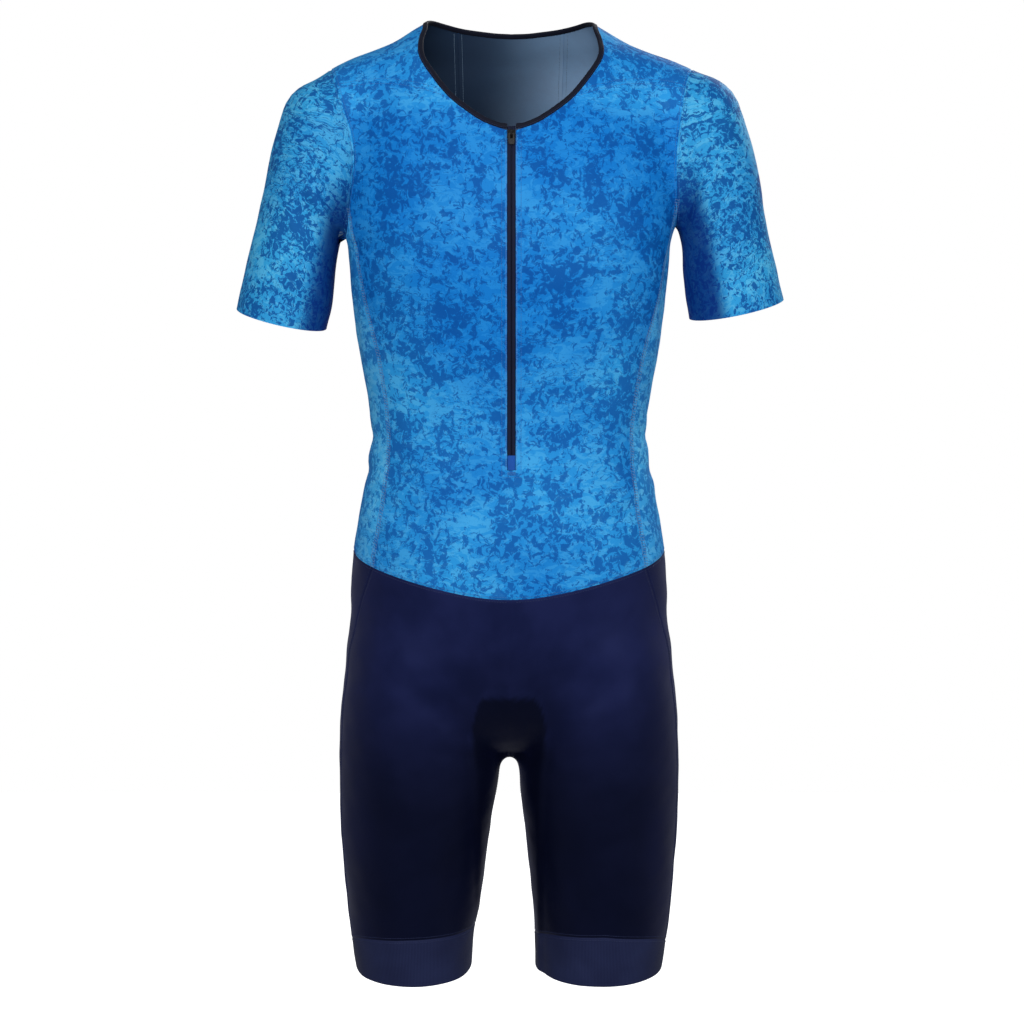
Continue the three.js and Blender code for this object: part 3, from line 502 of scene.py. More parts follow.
def armhole_arc(side, steps, first, last):
    return armhole_points(side, mix(first, last, shares(steps)))


def neck_arc(side, steps, first, last):
    return neck_points(side, mix(first, last, shares(steps)))


def waist_arc(steps, first, last):
    return waist_points(mix(first, last, shares(steps)))


def back_seam(side):
    start = waist_points(np.array([side * waist_angle(BACK_SEAM_WAIST, False)]))[0]
    end = neck_points(side, np.array([NECK_AT_BACK_SEAM]))[0]
    t = shares(STEPS["back_seam"])
    return pinned(facing(mix(start[0], end[0], t), mix(start[2], end[2], t), False), start, end)


def slot_edge(side):
    half = ZIP["slot_half"]
    start = waist_points(np.array([side * waist_angle(half + side * CENTRE_FRONT, True)]))[0]
    end = neck_points(side, np.array([NECK_AT_ZIP]))[0]
    rows = STEPS["side_seam"] + STEPS["armhole_front"]
    end_share = STEPS["slot_end_row"] / rows
    t = shares(rows)
    below = mix(start[2], ZIP["slot_end"], t / end_share)
    above = mix(ZIP["slot_end"], end[2], (t - end_share) / (1 - end_share))
    z = np.where(t <= end_share, below, above)
    return pinned(facing(side * half + CENTRE_FRONT, z, True), start, end)


def leg_points(side, z, degrees):
    angle = np.radians(degrees)
    middle = (column(LEG, "outer", z) + column(LEG, "inner_" + side_name(side), z)) / 2
    way = vectors_of(side * np.sin(angle), -np.cos(angle), 0)
    return cast(vectors_of(side * middle, 0, z), way)


def hem_height(side, degrees):
    return HEM["height"] - HEM["front_dip"] * np.cos(np.radians(degrees))


def gripper_height(side, degrees):
    return column(GRIPPER_SEAM, side_name(side), np.mod(degrees, 360), "at")


def leg_side_seam(side, to_front):
    key = "front" if to_front else "back"
    start = waist_points(np.array([side * waist_angle(SIDE_SEAM_WAIST[key], to_front)]))[0]
    degrees = LEG_SIDE_SEAM[key][-1]
    end = leg_points(side, gripper_height(side, degrees), degrees)
    t = shares(STEPS["rise"] + STEPS["inseam"])
    z = mix(start[2], end[2], t)
    turned = leg_points(side, z, column(LEG_SIDE_SEAM, key, z))
    early = (np.maximum(1 - t / 0.25, 0) ** 2)[:, None]
    drop = facing(start[0], z, to_front)
    return pinned(settle(mix(turned, drop, early)), start, end)


CROTCH = cast(np.array([0.0, CROTCH_Y, -690]), np.array([0.0, 0, -1]))


def rise_seam(start, to_front):
    """From the waist down the middle and round under to the crotch."""
    centre = np.array([0.0, CROTCH_Y, -650])
    out = facing(0, centre[2], to_front)
    straight = start[2] - centre[2]
    around = np.linalg.norm(out - centre) * 0.5 * math.pi
    way = shares(STEPS["rise"]) * (straight + around)
    fallen = np.minimum(way, straight)
    down = facing(mix(start[0], 0, np.minimum(way / straight, 1)), start[2] - fallen, to_front)
    turn = np.maximum(way - straight, 0) / around * 0.5 * math.pi
    forward = -np.cos(turn) if to_front else np.cos(turn)
    under = cast(centre, vectors_of(0, forward, -np.sin(turn)))
    return pinned(np.where((way < straight)[:, None], down, under), start, CROTCH)


def inseam(side):
    end = leg_points(side, gripper_height(side, INSEAM_ANGLE), INSEAM_ANGLE)
    t = shares(STEPS["inseam"])
    z = mix(CROTCH[2], end[2], t**1.15)
    below = leg_points(side, np.minimum(z, CROTCH[2] - 8), INSEAM_ANGLE)
    points = mix(CROTCH, below, np.minimum(t * 4, 1)[:, None])
    points[:, 2] = z
    return pinned(settle(points, 8), CROTCH, end)


def leg_arc(side, steps, first, last, height):
    degrees = mix(first, last, shares(steps))
    return leg_points(side, height(side, degrees), degrees)


# Grids of points between seams


def relax(grid, rounds=10):
    """Evens out the points between the edges of a grid, and keeps them on the form."""
    for _ in range(rounds):
        middle = (grid[:-2, 1:-1] + grid[2:, 1:-1] + grid[1:-1, :-2] + grid[1:-1, 2:]) / 4
        grid[1:-1, 1:-1] = settle(middle, 3)
    return grid


def between(bottom, top, left, right):
    """The points of a four-sided patch, from its edges alone."""
    u = np.linspace(0, 1, len(bottom))[None, :, None]
    v = np.linspace(0, 1, len(left))[:, None, None]
    sides = left[:, None] * (1 - u) + right[:, None] * u
    ends = bottom[None] * (1 - v) + top[None] * v
    corners = (
        bottom[0] * (1 - u) * (1 - v) + bottom[-1] * u * (1 - v) + top[0] * (1 - u) * v + top[-1] * u * v
    )
    return sides + ends - corners


def spread_matrix(count, places):
    """Takes a row of points to a smooth curve's points at the given places, counted in points."""
    rows, weights = curve_weights(np.arange(count, dtype=float), places)
    matrix = np.zeros((len(places), count))
    for row, weight in zip(rows, weights):
        np.add.at(matrix, (np.arange(len(places)), row), weight)
    return matrix


def spread(grid, rows, columns):
    down = spread_matrix(grid.shape[0], rows)
    across = spread_matrix(grid.shape[1], columns)
    return np.einsum("ia,abk,jb->ijk", down, grid, across)


def patch(bottom, top, left, right):
    coarse = between(bottom[::FINE], top[::FINE], left[::FINE], right[::FINE])
    coarse[1:-1, 1:-1] = settle(coarse[1:-1, 1:-1], 8)
    coarse = relax(coarse)
    fine = spread(coarse, np.arange(len(left)) / FINE, np.arange(len(bottom)) / FINE)
    fine += between(bottom - fine[0], top - fine[-1], left - fine[:, 0], right - fine[:, -1])
    fine[1:-1, 1:-1] = settle(fine[1:-1, 1:-1], 3)
    return fine


def tube(first_ring, last_ring, steps):
    t = shares(steps)[:, None, None] ** 1.25
    grid = mix(first_ring[None], last_ring[None], t)
    grid[1:-1] = settle(grid[1:-1], 6)
    return grid


def steps_between(points, axis):
    """The running length along one direction of a grid."""
    lengths = np.linalg.norm(np.diff(points, axis=axis), axis=-1)
    pad = [(0, 0), (0, 0)]
    pad[axis] = (1, 0)
    return np.cumsum(np.pad(lengths, pad), axis=axis)


FLATTEN_ROUNDS = 500


def flattened(grid, middle):
    """The points of a grid laid flat with their spacing kept, with one column of them straight up."""
    across = steps_between(grid, 1)
    up = steps_between(grid, 0)
    straight = np.stack([np.zeros(len(grid)), up[:, middle]], -1)
    flat = np.stack([across - across[:, middle : middle + 1], up + 0 * across], -1)
    every = slice(None)
    pairs = (
        ((every, slice(None, -1)), (every, slice(1, None))),
        ((slice(None, -1), every), (slice(1, None), every)),
        ((slice(None, -1), slice(None, -1)), (slice(1, None), slice(1, None))),
        ((slice(None, -1), slice(1, None)), (slice(1, None), slice(None, -1))),
    )
    lengths = [np.linalg.norm(grid[b] - grid[a], axis=-1) for a, b in pairs]
    for _ in range(FLATTEN_ROUNDS):
        move = np.zeros_like(flat)
        count = np.zeros(flat.shape[:2])
        for (a, b), length in zip(pairs, lengths):
            gap = flat[b] - flat[a]
            now = np.maximum(np.linalg.norm(gap, axis=-1), 1e-9)
            shift = gap * ((now - length) / now * 0.5)[..., None]
            move[a] += shift
            move[b] -= shift
            count[a] += 1
            count[b] += 1
        flat += move / count[..., None] * 1.5
        flat[:, middle] = straight
    return flat


EXTRA_ROWS = (0.2, 0.55)


def finished(grid, seams, middle):
    """A grid with more rows near its edges, its flat coordinates, and how near each point is to a seam.

    seams names the edges that are sewn: b, t, l and r. middle is the column that lies straight when
    the piece is flat."""
    rows, columns = grid.shape[:2]

    def places(count):
        near = [0.0, *EXTRA_ROWS]
        far = [count - 1 - x for x in reversed(near)]
        return np.array(near + list(range(1, count - 1)) + far)

    fine = spread(grid, places(rows), places(columns))
    coarse = grid[::FINE, ::FINE]
    flat = flattened(coarse, middle % columns // FINE)
    flat = spread(flat, places(rows) / FINE, places(columns) / FINE)
    across = steps_between(fine, 1)
    up = steps_between(fine, 0)
    seam = np.full(across.shape, 1e3)
    edges = {"l": across, "r": across[:, -1:] - across, "b": up, "t": up[-1:] - up}
    for name in seams:
        seam = np.minimum(seam, edges[name])
    return {"points": fine, "flat": flat, "seam": seam}


# Folds: soft troughs and ridges along lines on the cloth. The lines are drawn in width and height on
# the front or back, or in depth and height on the left or right side, and laid onto the form.

FOLDS = []


def laid_line(view, marks):
    marks = np.array(marks, float)
    t = np.linspace(0, len(marks) - 1, max(len(marks) * 12, 24))
    a, z = (spread_matrix(len(marks), t) @ marks).T
    if view in ("front", "back"):
        return facing(a, z, view == "front")
    way = np.array([1.0 if view == "left" else -1.0, 0, 0])
    return cast(vectors_of(0, a, z), way)


def fold(view, marks, width, height, ridge=0.4):
    """height is the trough's depth below zero, or the ridge's height above it. ridge is the share of
    it that stands up beside a trough, or sinks beside a ridge."""
    FOLDS.append((laid_line(view, marks), width, height, ridge))


def fold_shift(points, normals):
    shift = np.zeros(len(points))
    for line, width, height, ridge in FOLDS:
        reach = 3.2 * width
        near = ((points > line.min(0) - reach) & (points < line.max(0) + reach)).all(1)
        index = np.flatnonzero(near)
        if not len(index):
            continue
        p = points[index]
        gaps = np.linalg.norm(p[:, None] - line[None], axis=2)
        at = gaps.argmin(1)
        distance = gaps[np.arange(len(p)), at]
        tangent = unit(np.gradient(line, axis=0))[at]
        side = np.sign(np.einsum("ij,ij->i", np.cross(tangent, normals[index]), p - line[at]))
        share = at / (len(line) - 1)
        fade = np.sin(math.pi * np.clip(share, 0, 1)) ** 0.8
        x = side * distance / width
        profile = np.exp(-x * x) - ridge * np.exp(-(((x - 1.7) / 1.1) ** 2))
        shift[index] += height * fade * profile
    return shift


WAVES = (
    ((0.043, 0.021, 0.017), 0.4, 0.16),
    ((-0.019, 0.034, 0.052), 1.9, 0.14),
    ((0.067, -0.046, 0.031), 3.1, 0.1),
    ((0.028, 0.059, -0.083), 5.2, 0.08),
)


def wave_shift(points):
    shift = np.zeros(len(points))
    for way, phase, height in WAVES:
        shift += height * np.sin(points @ np.array(way) * 2 * math.pi * 0.45 + phase)
    return shift


PAD = {"front": -668, "back": -650, "rows": 64, "columns": 40}
PAD_HALF = table("at half", (0, 24), (0.06, 34), (0.18, 39), (0.4, 34), (0.65, 48), (0.88, 60), (1, 44))
PAD_CENTRE = np.array([0.0, CROTCH_Y, -650])
PAD_RELIEF = 2.4


def pad_ends():
    ends = []
    for key, to_front in (("front", True), ("back", False)):
        reach = np.linalg.norm(PAD_CENTRE - facing(0, PAD[key], to_front))
        ends.append(math.asin((PAD_CENTRE[2] - PAD[key]) / reach))
    return ends[0], math.pi - ends[1]


def step_up(x, start, end):
    t = np.clip((x - start) / (end - start), 0, 1)
    return t * t * (3 - 2 * t)


def pad_shift(points):
    """How far the pad inside pushes the cloth out: a low plateau with a soft rim."""
    start, finish = pad_ends()
    around = np.arctan2(PAD_CENTRE[2] - points[:, 2], PAD_CENTRE[1] - points[:, 1])
    around = np.where(around < -1.5, around + 2 * math.pi, around)
    at = (around - start) / (finish - start)
    half = column(PAD_HALF, "half", np.clip(at, 0, 1), "at")
    length = 180.0
    inside = np.minimum(half - np.abs(points[:, 0]), np.minimum(at, 1 - at) * length)
    return PAD_RELIEF * step_up(inside, -2.0, 2.5) * (points[:, 2] < -600)


# Painted shade: how much darker than its own colour the cloth is painted where less light falls on it, from
# 0 to 1

# Where each sleeve's painted shade starts and becomes full, going in towards the body, in shares of its
# half width
SLEEVE_SHADE = {-1: (0.28, 0.7), 1: (0.1, 0.46)}


def sleeve_shade(points):
    """Painted shade: the sleeves are dark where they face the body, which shades them."""
    shade = np.zeros(len(points))
    for side in SIDES:
        arm = ARM_FRAMES[side]
        start = points - arm["shoulder"]
        at = (start @ arm["along"]) / arm["length"]
        inward = -(start @ arm["across"]) / column(ARM_RINGS[side], "half", np.clip(at, 0, 1), "at")
        own = side * points[:, 0] > 0
        shade = np.maximum(shade, step_up(inward, *SLEEVE_SHADE[side]) * step_up(at, 0.16, 0.5) * own)
    return shade * 0.88


def shorts_shade(points):
    """Painted shade: the shorts darken down the thighs, most of all over the pad and down the inner thighs.
    """
    x, y, z = points.T
    wide = np.abs(x)
    front = mix(0.5, 1.0, step_up(-y, -30, 30))
    # painted shade: darker lower down the thighs, less so on the outer sides and on the back
    lower = step_up(-z, 610, 800) * (0.86 - 0.34 * step_up(wide, 125, 168)) * front
    # painted shade down the middle of the front
    middle = step_up(-z, 590, 690) * step_up(-wide, -105, -30) * 0.5 * front
    # painted shade over the pad's relief, weaker on the back
    over_pad = pad_shift(points) / PAD_RELIEF * step_up(-z, 668, 676) * mix(0.25, 0.92, step_up(-y, -60, 0))
    # painted shade down the inner thighs
    inner = step_up(-z, 690, 745) * step_up(-wide, -84, -26) * 0.96
    return np.maximum.reduce([lower, middle, over_pad, inner])


def no_shade(points):
    return np.zeros(len(points))


def reverse_shade(points):
    """Painted shade on the reverse: the inside of the back is dark on the wearer's right and light on the
    left, and lower down the inside is evenly darkened.
    """
    x, z = points[:, 0], points[:, 2]
    across = 0.95 * (1 - step_up(x, -50, 80) ** 1.6)
    inside_back = mix(across, 0.6, step_up(np.abs(x), 90, 130))
    return np.where(z > -520, inside_back, 0.4)


SEAM_GROOVE = 0.55
SEAM_REACH = 1.3


def cloth_shift(points, normals):
    return fold_shift(points, normals) + wave_shift(points) + pad_shift(points)


def lifted(points, height):
    """Points on the form moved out to a height above the middle of the cloth."""
    flat = points.reshape(-1, 3)
    normals = normals_at(flat)
    moved = flat + normals * (cloth_shift(flat, normals) + height)[:, None]
    return moved.reshape(points.shape), normals.reshape(points.shape)


# Meshes and pieces


def make_object(name, points, faces, smooth=True):
    mesh = bpy.data.meshes.new(name)
    mesh.from_pydata((np.asarray(points) * MM).tolist(), [], faces)
    mesh.update()
    if smooth:
        mesh.polygons.foreach_set("use_smooth", np.ones(len(mesh.polygons), bool))
    made = bpy.data.objects.new(name, mesh)
    bpy.context.scene.collection.objects.link(made)
    return made


def give_flat(made, loops_flat):
    layer = made.data.uv_layers.new(name=UV_NAME)
    layer.uv.foreach_set("vector", (np.asarray(loops_flat, np.float32) * MM).ravel())


def grid_quads(rows, columns, start=0):
    index = np.arange(rows * columns).reshape(rows, columns) + start
    return np.stack([index[:-1, :-1], index[:-1, 1:], index[1:, 1:], index[1:, :-1]], -1).reshape(-1, 4)


def shell(name, grids, materials, shade_of):
    """A closed thin shell on the form, from finished grids. materials are for its outside and inside."""
    points = np.concatenate([g["points"].reshape(-1, 3) for g in grids])
    flat = np.concatenate([g["flat"].reshape(-1, 2) for g in grids])
    seam = np.concatenate([g["seam"].ravel() for g in grids])
    normals = normals_at(points)
    quads = []
    start = 0
    for g in grids:
        rows, columns = g["points"].shape[:2]
        part = grid_quads(rows, columns, start)
        a, b, c, d = (points[part[:, k]] for k in range(4))
        facing_out = np.einsum("ij,ij->i", np.cross(c - a, d - b), normals[part[:, 0]]).sum()
        quads.append(part if facing_out > 0 else part[:, ::-1])
        start += rows * columns
    quads = np.concatenate(quads)
    keys = np.round(points * 50).astype(np.int64)
    _, first, welded = np.unique(keys, axis=0, return_index=True, return_inverse=True)
    welded = welded.ravel()
    base, out, near = points[first], normals[first], seam[first]
    shift = cloth_shift(base, out) - SEAM_GROOVE * np.exp(-((near / SEAM_REACH) ** 2))
    top = base + out * (shift + SHELL / 2)[:, None]
    bottom = base + out * (shift - SHELL / 2)[:, None]
    count = len(base)
    faces = welded[quads]
    edges = {}
    for face, raw in zip(faces.tolist(), quads.tolist()):
        for k in range(4):
            a, b = face[k], face[(k + 1) % 4]
            if (b, a) in edges:
                del edges[(b, a)]
            else:
                edges[(a, b)] = (raw[k], raw[(k + 1) % 4])
    rim = [[b, a, a + count, b + count] for a, b in edges]
    rim_flat = [[flat[rb], flat[ra], flat[ra], flat[rb]] for ra, rb in edges.values()]
    all_faces = faces.tolist() + (faces[:, ::-1] + count).tolist() + rim
    made = make_object(name, np.concatenate([top, bottom]), all_faces)
    flat_corners = [flat[quads.ravel()], flat[quads[:, ::-1].ravel()], np.array(rim_flat).reshape(-1, 2)]
    give_flat(made, np.concatenate(flat_corners))
    for material in materials:
        made.data.materials.append(material)
    inside_faces = np.zeros(len(all_faces), np.int32)
    inside_faces[len(faces) : 2 * len(faces)] = 1
    made.data.polygons.foreach_set("material_index", inside_faces)
    # Painted shade for each point: shade_of on the outside, reverse_shade on the inside
    shade = made.data.attributes.new(SHADE_NAME, "FLOAT", "POINT")
    both = np.concatenate([shade_of(base), reverse_shade(base)])
    shade.data.foreach_set("value", both.astype(np.float32))
    made.data.set_sharp_from_angle(angle=math.radians(50))
    return made


def sweep(name, centres, across, out, profile, material, closed=False, caps=True):
    """A rounded strip: a closed outline, given in (across, out), carried along a line of points."""
    profile = np.asarray(profile, float)
    rings = centres[:, None] + across[:, None] * profile[None, :, :1] + out[:, None] * profile[None, :, 1:]
    rows, sides = rings.shape[:2]
    index = np.arange(rows * sides).reshape(rows, sides)
    following = np.roll(index, -1, axis=1)
    last = rows if closed else rows - 1
    after = np.roll(index, -1, axis=0)
    after_following = np.roll(following, -1, axis=0)
    quads = np.stack([index, following, after_following, after], -1)[:last].reshape(-1, 4)
    faces = quads.tolist()
    if caps and not closed:
        faces += [index[0, ::-1].tolist(), index[-1].tolist()]
    made = make_object(name, rings.reshape(-1, 3), faces)
    along = steps_between(centres[:, None], 0)[:, 0]
    girth = np.concatenate([[0], np.cumsum(np.linalg.norm(np.diff(profile, axis=0), axis=1))])
    flat = np.stack(np.broadcast_arrays(girth[None, :], along[:, None]), -1).reshape(-1, 2)
    loops = np.concatenate([np.array(face) for face in faces])
    give_flat(made, flat[loops])
    made.data.materials.append(material)
    made.data.set_sharp_from_angle(angle=math.radians(60))
    return made


def rounded(width, height, count=16, power=2.6):
    """A rounded outline, as (across, out) points round its middle."""
    angles = np.linspace(0, 2 * math.pi, count, endpoint=False)
    c, s = np.cos(angles), np.sin(angles)
    reach = (np.abs(c) ** power + np.abs(s) ** power) ** (-1 / power)
    return np.stack([c * reach * width / 2, s * reach * height / 2], -1)


# Stitches: each is one short thread that stands out of the cloth and dips into it at both ends

STITCH = {"pitch": 2.7, "length": 2.35, "half_width": 0.27, "half_height": 0.22}
DASH_RINGS = ((-0.5, 0.45, -0.5), (-0.28, 0.95, 0.25), (0.28, 0.95, 0.25), (0.5, 0.45, -0.5))
stitch_groups = {}


def resampled(points, normals, pitch):
    run = np.concatenate([[0], np.cumsum(np.linalg.norm(np.diff(points, axis=0), axis=1))])
    count = max(int(run[-1] / pitch), 1)
    at = (np.arange(count) + 0.5) * run[-1] / count
    place = np.stack([np.interp(at, run, points[:, k]) for k in range(3)], -1)
    out = unit(np.stack([np.interp(at, run, normals[:, k]) for k in range(3)], -1))
    ahead = np.stack([np.interp(at + 0.6, run, points[:, k]) for k in range(3)], -1)
    behind = np.stack([np.interp(at - 0.6, run, points[:, k]) for k in range(3)], -1)
    return place, unit(ahead - behind), out


def add_dashes(group, places, along, out, length=None, half_width=None, half_height=None):
    length = length or STITCH["length"]
    half_width = half_width or STITCH["half_width"]
    half_height = half_height or STITCH["half_height"]
    across = np.cross(out, along)
    corners = ((1, 0), (0, 1), (-1, 0), (0, -1))
    parts = []
    for at, size, rise in DASH_RINGS:
        for side, up in corners:
            offset = (
                along * at * length
                + across * side * size * half_width
                + out * (up * size + rise) * half_height
            )
            parts.append(places + offset)
    stitch_groups.setdefault(group, []).append(np.stack(parts, 1))


def stitch_row(group, line, aside, height=SHELL / 2, inside=False, pitch=None):
    """A row of stitches beside a line on the form. aside is to the left of its way, seen from outside."""
    normals = normals_at(line)
    along = unit(np.gradient(line, axis=0))
    row = settle(line + np.cross(normals, along) * aside, 3)
    points, out = lifted(row, -height if inside else height)
    places, way, out = resampled(points, out, pitch or STITCH["pitch"])
    add_dashes(group, places, way, -out if inside else out)


def make_stitches(group, material):
    dashes = np.concatenate(stitch_groups[group])
    count, ring_points = dashes.shape[:2]
    rings = len(DASH_RINGS)
    local = []
    for r in range(rings - 1):
        for k in range(4):
            n = (k + 1) % 4
            local.append([r * 4 + k, r * 4 + n, r * 4 + 4 + n, r * 4 + 4 + k])
    local.append([3, 2, 1, 0])
    local.append([ring_points - 4, ring_points - 3, ring_points - 2, ring_points - 1])
    faces = (np.arange(count)[:, None, None] * ring_points + np.array(local)[None]).reshape(-1, 4)
    made = make_object(group, dashes.reshape(-1, 3), faces.tolist())
    made.data.materials.append(material)
    return made


# Materials


def linear(code):
    """A colour written as on the web, as the shader wants it."""
    values = [int(code[i : i + 2], 16) / 255 for i in (1, 3, 5)]
    return tuple(v / 12.92 if v <= 0.04045 else ((v + 0.055) / 1.055) ** 2.4 for v in values) + (1.0,)


class Look:
    """A material under construction, with short names for the nodes that it uses."""

    def __init__(self, name, roughness=0.6, sheen=0.0, specular=0.5, metallic=0.0):
        self.material = bpy.data.materials.new(name)
        self.material.use_nodes = True
        self.tree = self.material.node_tree
        self.shader = self.tree.nodes["Principled BSDF"]
        self.shader.inputs["Roughness"].default_value = roughness
        self.shader.inputs["Metallic"].default_value = metallic
        self.shader.inputs["Specular IOR Level"].default_value = specular
        self.shader.inputs["Sheen Weight"].default_value = sheen
        self.shader.inputs["Sheen Roughness"].default_value = 0.45

    def node(self, kind, inputs=(), **settings):
        made = self.tree.nodes.new("ShaderNode" + kind)
        for name, value in settings.items():
            setattr(made, name, value)
        for key, value in dict(inputs).items():
            if isinstance(value, bpy.types.NodeSocket):
                self.tree.links.new(value, made.inputs[key])
            else:
                made.inputs[key].default_value = value
        return made

    def flat(self, scale=(1, 1, 1), move=(0, 0, 0), turn=0.0):
        source = self.node("UVMap", uv_map=UV_NAME).outputs["UV"]
        inputs = {"Vector": source, "Scale": scale, "Location": move, "Rotation": (0, 0, turn)}
        return self.node("Mapping", inputs).outputs["Vector"]

    def place(self):
        return self.node("TexCoord").outputs["Object"]

    def noise(self, vector, scale, detail=2.0, roughness=0.5, distortion=0.0, output="Fac"):
        inputs = {
            "Vector": vector,
            "Scale": scale,
            "Detail": detail,
            "Roughness": roughness,
            "Distortion": distortion,
        }
        return self.node("TexNoise", inputs, noise_dimensions="3D").outputs[output]

    def bands(self, vector, scale, distortion=0.0, direction="X"):
        inputs = {"Vector": vector, "Scale": scale, "Distortion": distortion}
        made = self.node("TexWave", inputs, bands_direction=direction)
        return made.outputs["Fac"]

    def math(self, operation, a, b=0.0, clamp=False):
        made = self.node("Math", {0: a, 1: b}, operation=operation, use_clamp=clamp)
        return made.outputs[0]

    def ranged(self, value, low, high, to_low=0.0, to_high=1.0):
        inputs = {"Value": value, "From Min": low, "From Max": high, "To Min": to_low, "To Max": to_high}
        return self.node("MapRange", inputs, interpolation_type="SMOOTHSTEP").outputs["Result"]

    def moved(self, vector, noise_scale, amount):
        """The coordinates shifted by a soft noise, so that a pattern on them isn't regular."""
        wander = self.noise(vector, noise_scale, 2.0, output="Color")
        centred = self.node("VectorMath", {0: wander, 1: (0.5, 0.5, 0.5)}, operation="SUBTRACT").outputs[0]
        sized = self.node("VectorMath", {0: centred, "Scale": amount}, operation="SCALE").outputs[0]
        return self.node("VectorMath", {0: vector, 1: sized}, operation="ADD").outputs[0]

    def blend(self, share, a, b):
        made = self.node("Mix", data_type="RGBA")
        for key, value in ((0, share), (6, a), (7, b)):
            if isinstance(value, bpy.types.NodeSocket):
                self.tree.links.new(value, made.inputs[key])
            else:
                made.inputs[key].default_value = value
        return made.outputs[2]

    # The painted shade of each point, as stored on the mesh
    def shade(self):
        return self.node("Attribute", attribute_name=SHADE_NAME).outputs["Fac"]

    def colour(self, socket, shade=None):
        """Gives the shader its colour, and the colour that it turns into where its painted shade is full.
        """
        if shade:
            socket = self.blend(self.shade(), socket, linear(shade))
        self.tree.links.new(socket, self.shader.inputs["Base Color"])

    def rough(self, socket):
        self.tree.links.new(socket, self.shader.inputs["Roughness"])

    def bump(self, height, strength, distance_mm):
        inputs = {"Height": height, "Strength": strength, "Distance": distance_mm * MM}
        made = self.node("Bump", inputs)
        self.tree.links.new(made.outputs["Normal"], self.shader.inputs["Normal"])


def knit_height(look, pitch_mm):
    """The height of a fine jersey: wales along the piece crossed by rows of loops."""
    flat = look.flat()
    per_band = 0.314
    wales = look.bands(flat, per_band / (pitch_mm * MM), 0.4, "X")
    rows = look.bands(flat, per_band / (pitch_mm * 0.8 * MM), 0.6, "Y")
    return look.math("MULTIPLY", wales, rows)


TORSO_INKS = {
    "light": ("#1078cd", "#2f9fe6"),
    "deep": ("#044a9b", "#125cae"),
    "pale": ("#2088d8", "#4fb6ef"),
}
SLEEVE_INKS = {
    "light": ("#137ac6", "#34a2de"),
    "deep": ("#054690", "#115aa2"),
    "pale": ("#2f92d4", "#59bbe8"),
}
SIDE_INKS = {
    "light": ("#2288da", "#42aeee"),
    "deep": ("#0c60b6", "#1c78c6"),
    "pale": ("#3c9fe4", "#62c1f4"),
}
WASHED = ("#86a8cc", "#9cb9da")


def print_look(name, inks=TORSO_INKS, lift=0.0, chest=0.0, contrast=0.8, fineness=1.0, inside=False):
    """A generic mottled print: torn dark flecks, pale flakes and thin veins, in large soft patches of tone.

    lift makes the whole piece lighter, and chest makes it darker over the chest. contrast is the
    strength of its dark marks, and fineness makes the marks smaller."""
    look = Look(name, roughness=0.6, specular=0.06)
    flat = look.flat()
    tone = look.noise(look.flat(move=(0.31, 0.17, 0)), 8.5, 2.0, 0.5, 0.3)
    patchy = look.noise(look.flat(move=(0.73, 0.41, 0)), 24, 2.0, 0.55, 0.4)
    uneven = look.math("MULTIPLY", look.math("SUBTRACT", patchy, 0.5), 0.42)
    torn = look.noise(look.moved(flat, 70, 0.01), 135 * fineness, 6.0, 0.7, 0.7)
    marks = look.ranged(look.math("ADD", torn, uneven), 0.512, 0.53)
    along_flakes = look.moved(look.flat(scale=(0.7, 1.35, 1), turn=0.5), 70, 0.014)
    flakes = look.noise(along_flakes, 100 * fineness, 5.0, 0.64, 0.9)
    pale = look.ranged(look.math("SUBTRACT", flakes, uneven), 0.525, 0.545)
    along_lines = look.moved(look.flat(scale=(0.5, 1.4, 1), turn=0.45), 80, 0.012)
    lines = look.noise(along_lines, 72 * fineness, 4.0, 0.6, 0.35)
    lines = look.math("ABSOLUTE", look.math("SUBTRACT", lines, 0.5))
    zone = look.ranged(look.noise(look.flat(move=(0.11, 0.57, 0)), 11, 1.0), 0.49, 0.6)
    veins = look.math("MULTIPLY", look.ranged(lines, 0.005, 0.018, 1.0, 0.0), zone)
    dark = look.math("MAXIMUM", marks, veins)
    z = look.node("SeparateXYZ", {0: look.place()}).outputs["Z"]
    on_chest = look.math("MULTIPLY", look.ranged(z, -0.36, -0.24), look.ranged(z, -0.075, -0.1))
    level = look.math("ADD", look.ranged(tone, 0.15, 0.85), lift)
    level = look.math("SUBTRACT", level, look.math("MULTIPLY", on_chest, chest), clamp=True)
    light, deep, palest = (look.blend(level, *map(linear, inks[key])) for key in ("light", "deep", "pale"))
    mottled = look.blend(look.math("MULTIPLY", pale, 0.75), light, palest)
    mottled = look.blend(look.math("MULTIPLY", dark, contrast), mottled, deep)
    speck = look.noise(flat, 420, 3.0, 0.6)
    mottled = look.blend(look.ranged(speck, 0.55, 0.75, 0.0, 0.3), mottled, deep)
    if inside:
        washed = look.blend(look.ranged(tone, 0.3, 0.7), *map(linear, WASHED))
        # 12233c is the colour of full painted shade on the reverse
        look.colour(look.blend(0.08, washed, mottled), "#12233c")
    else:
        # 062a78 is the colour of full painted shade on the print
        look.colour(mottled, "#062a78")
    look.rough(look.ranged(torn, 0.3, 0.7, 0.54, 0.66))
    look.bump(knit_height(look, 0.9), 0.25, 0.12)
    return look.material


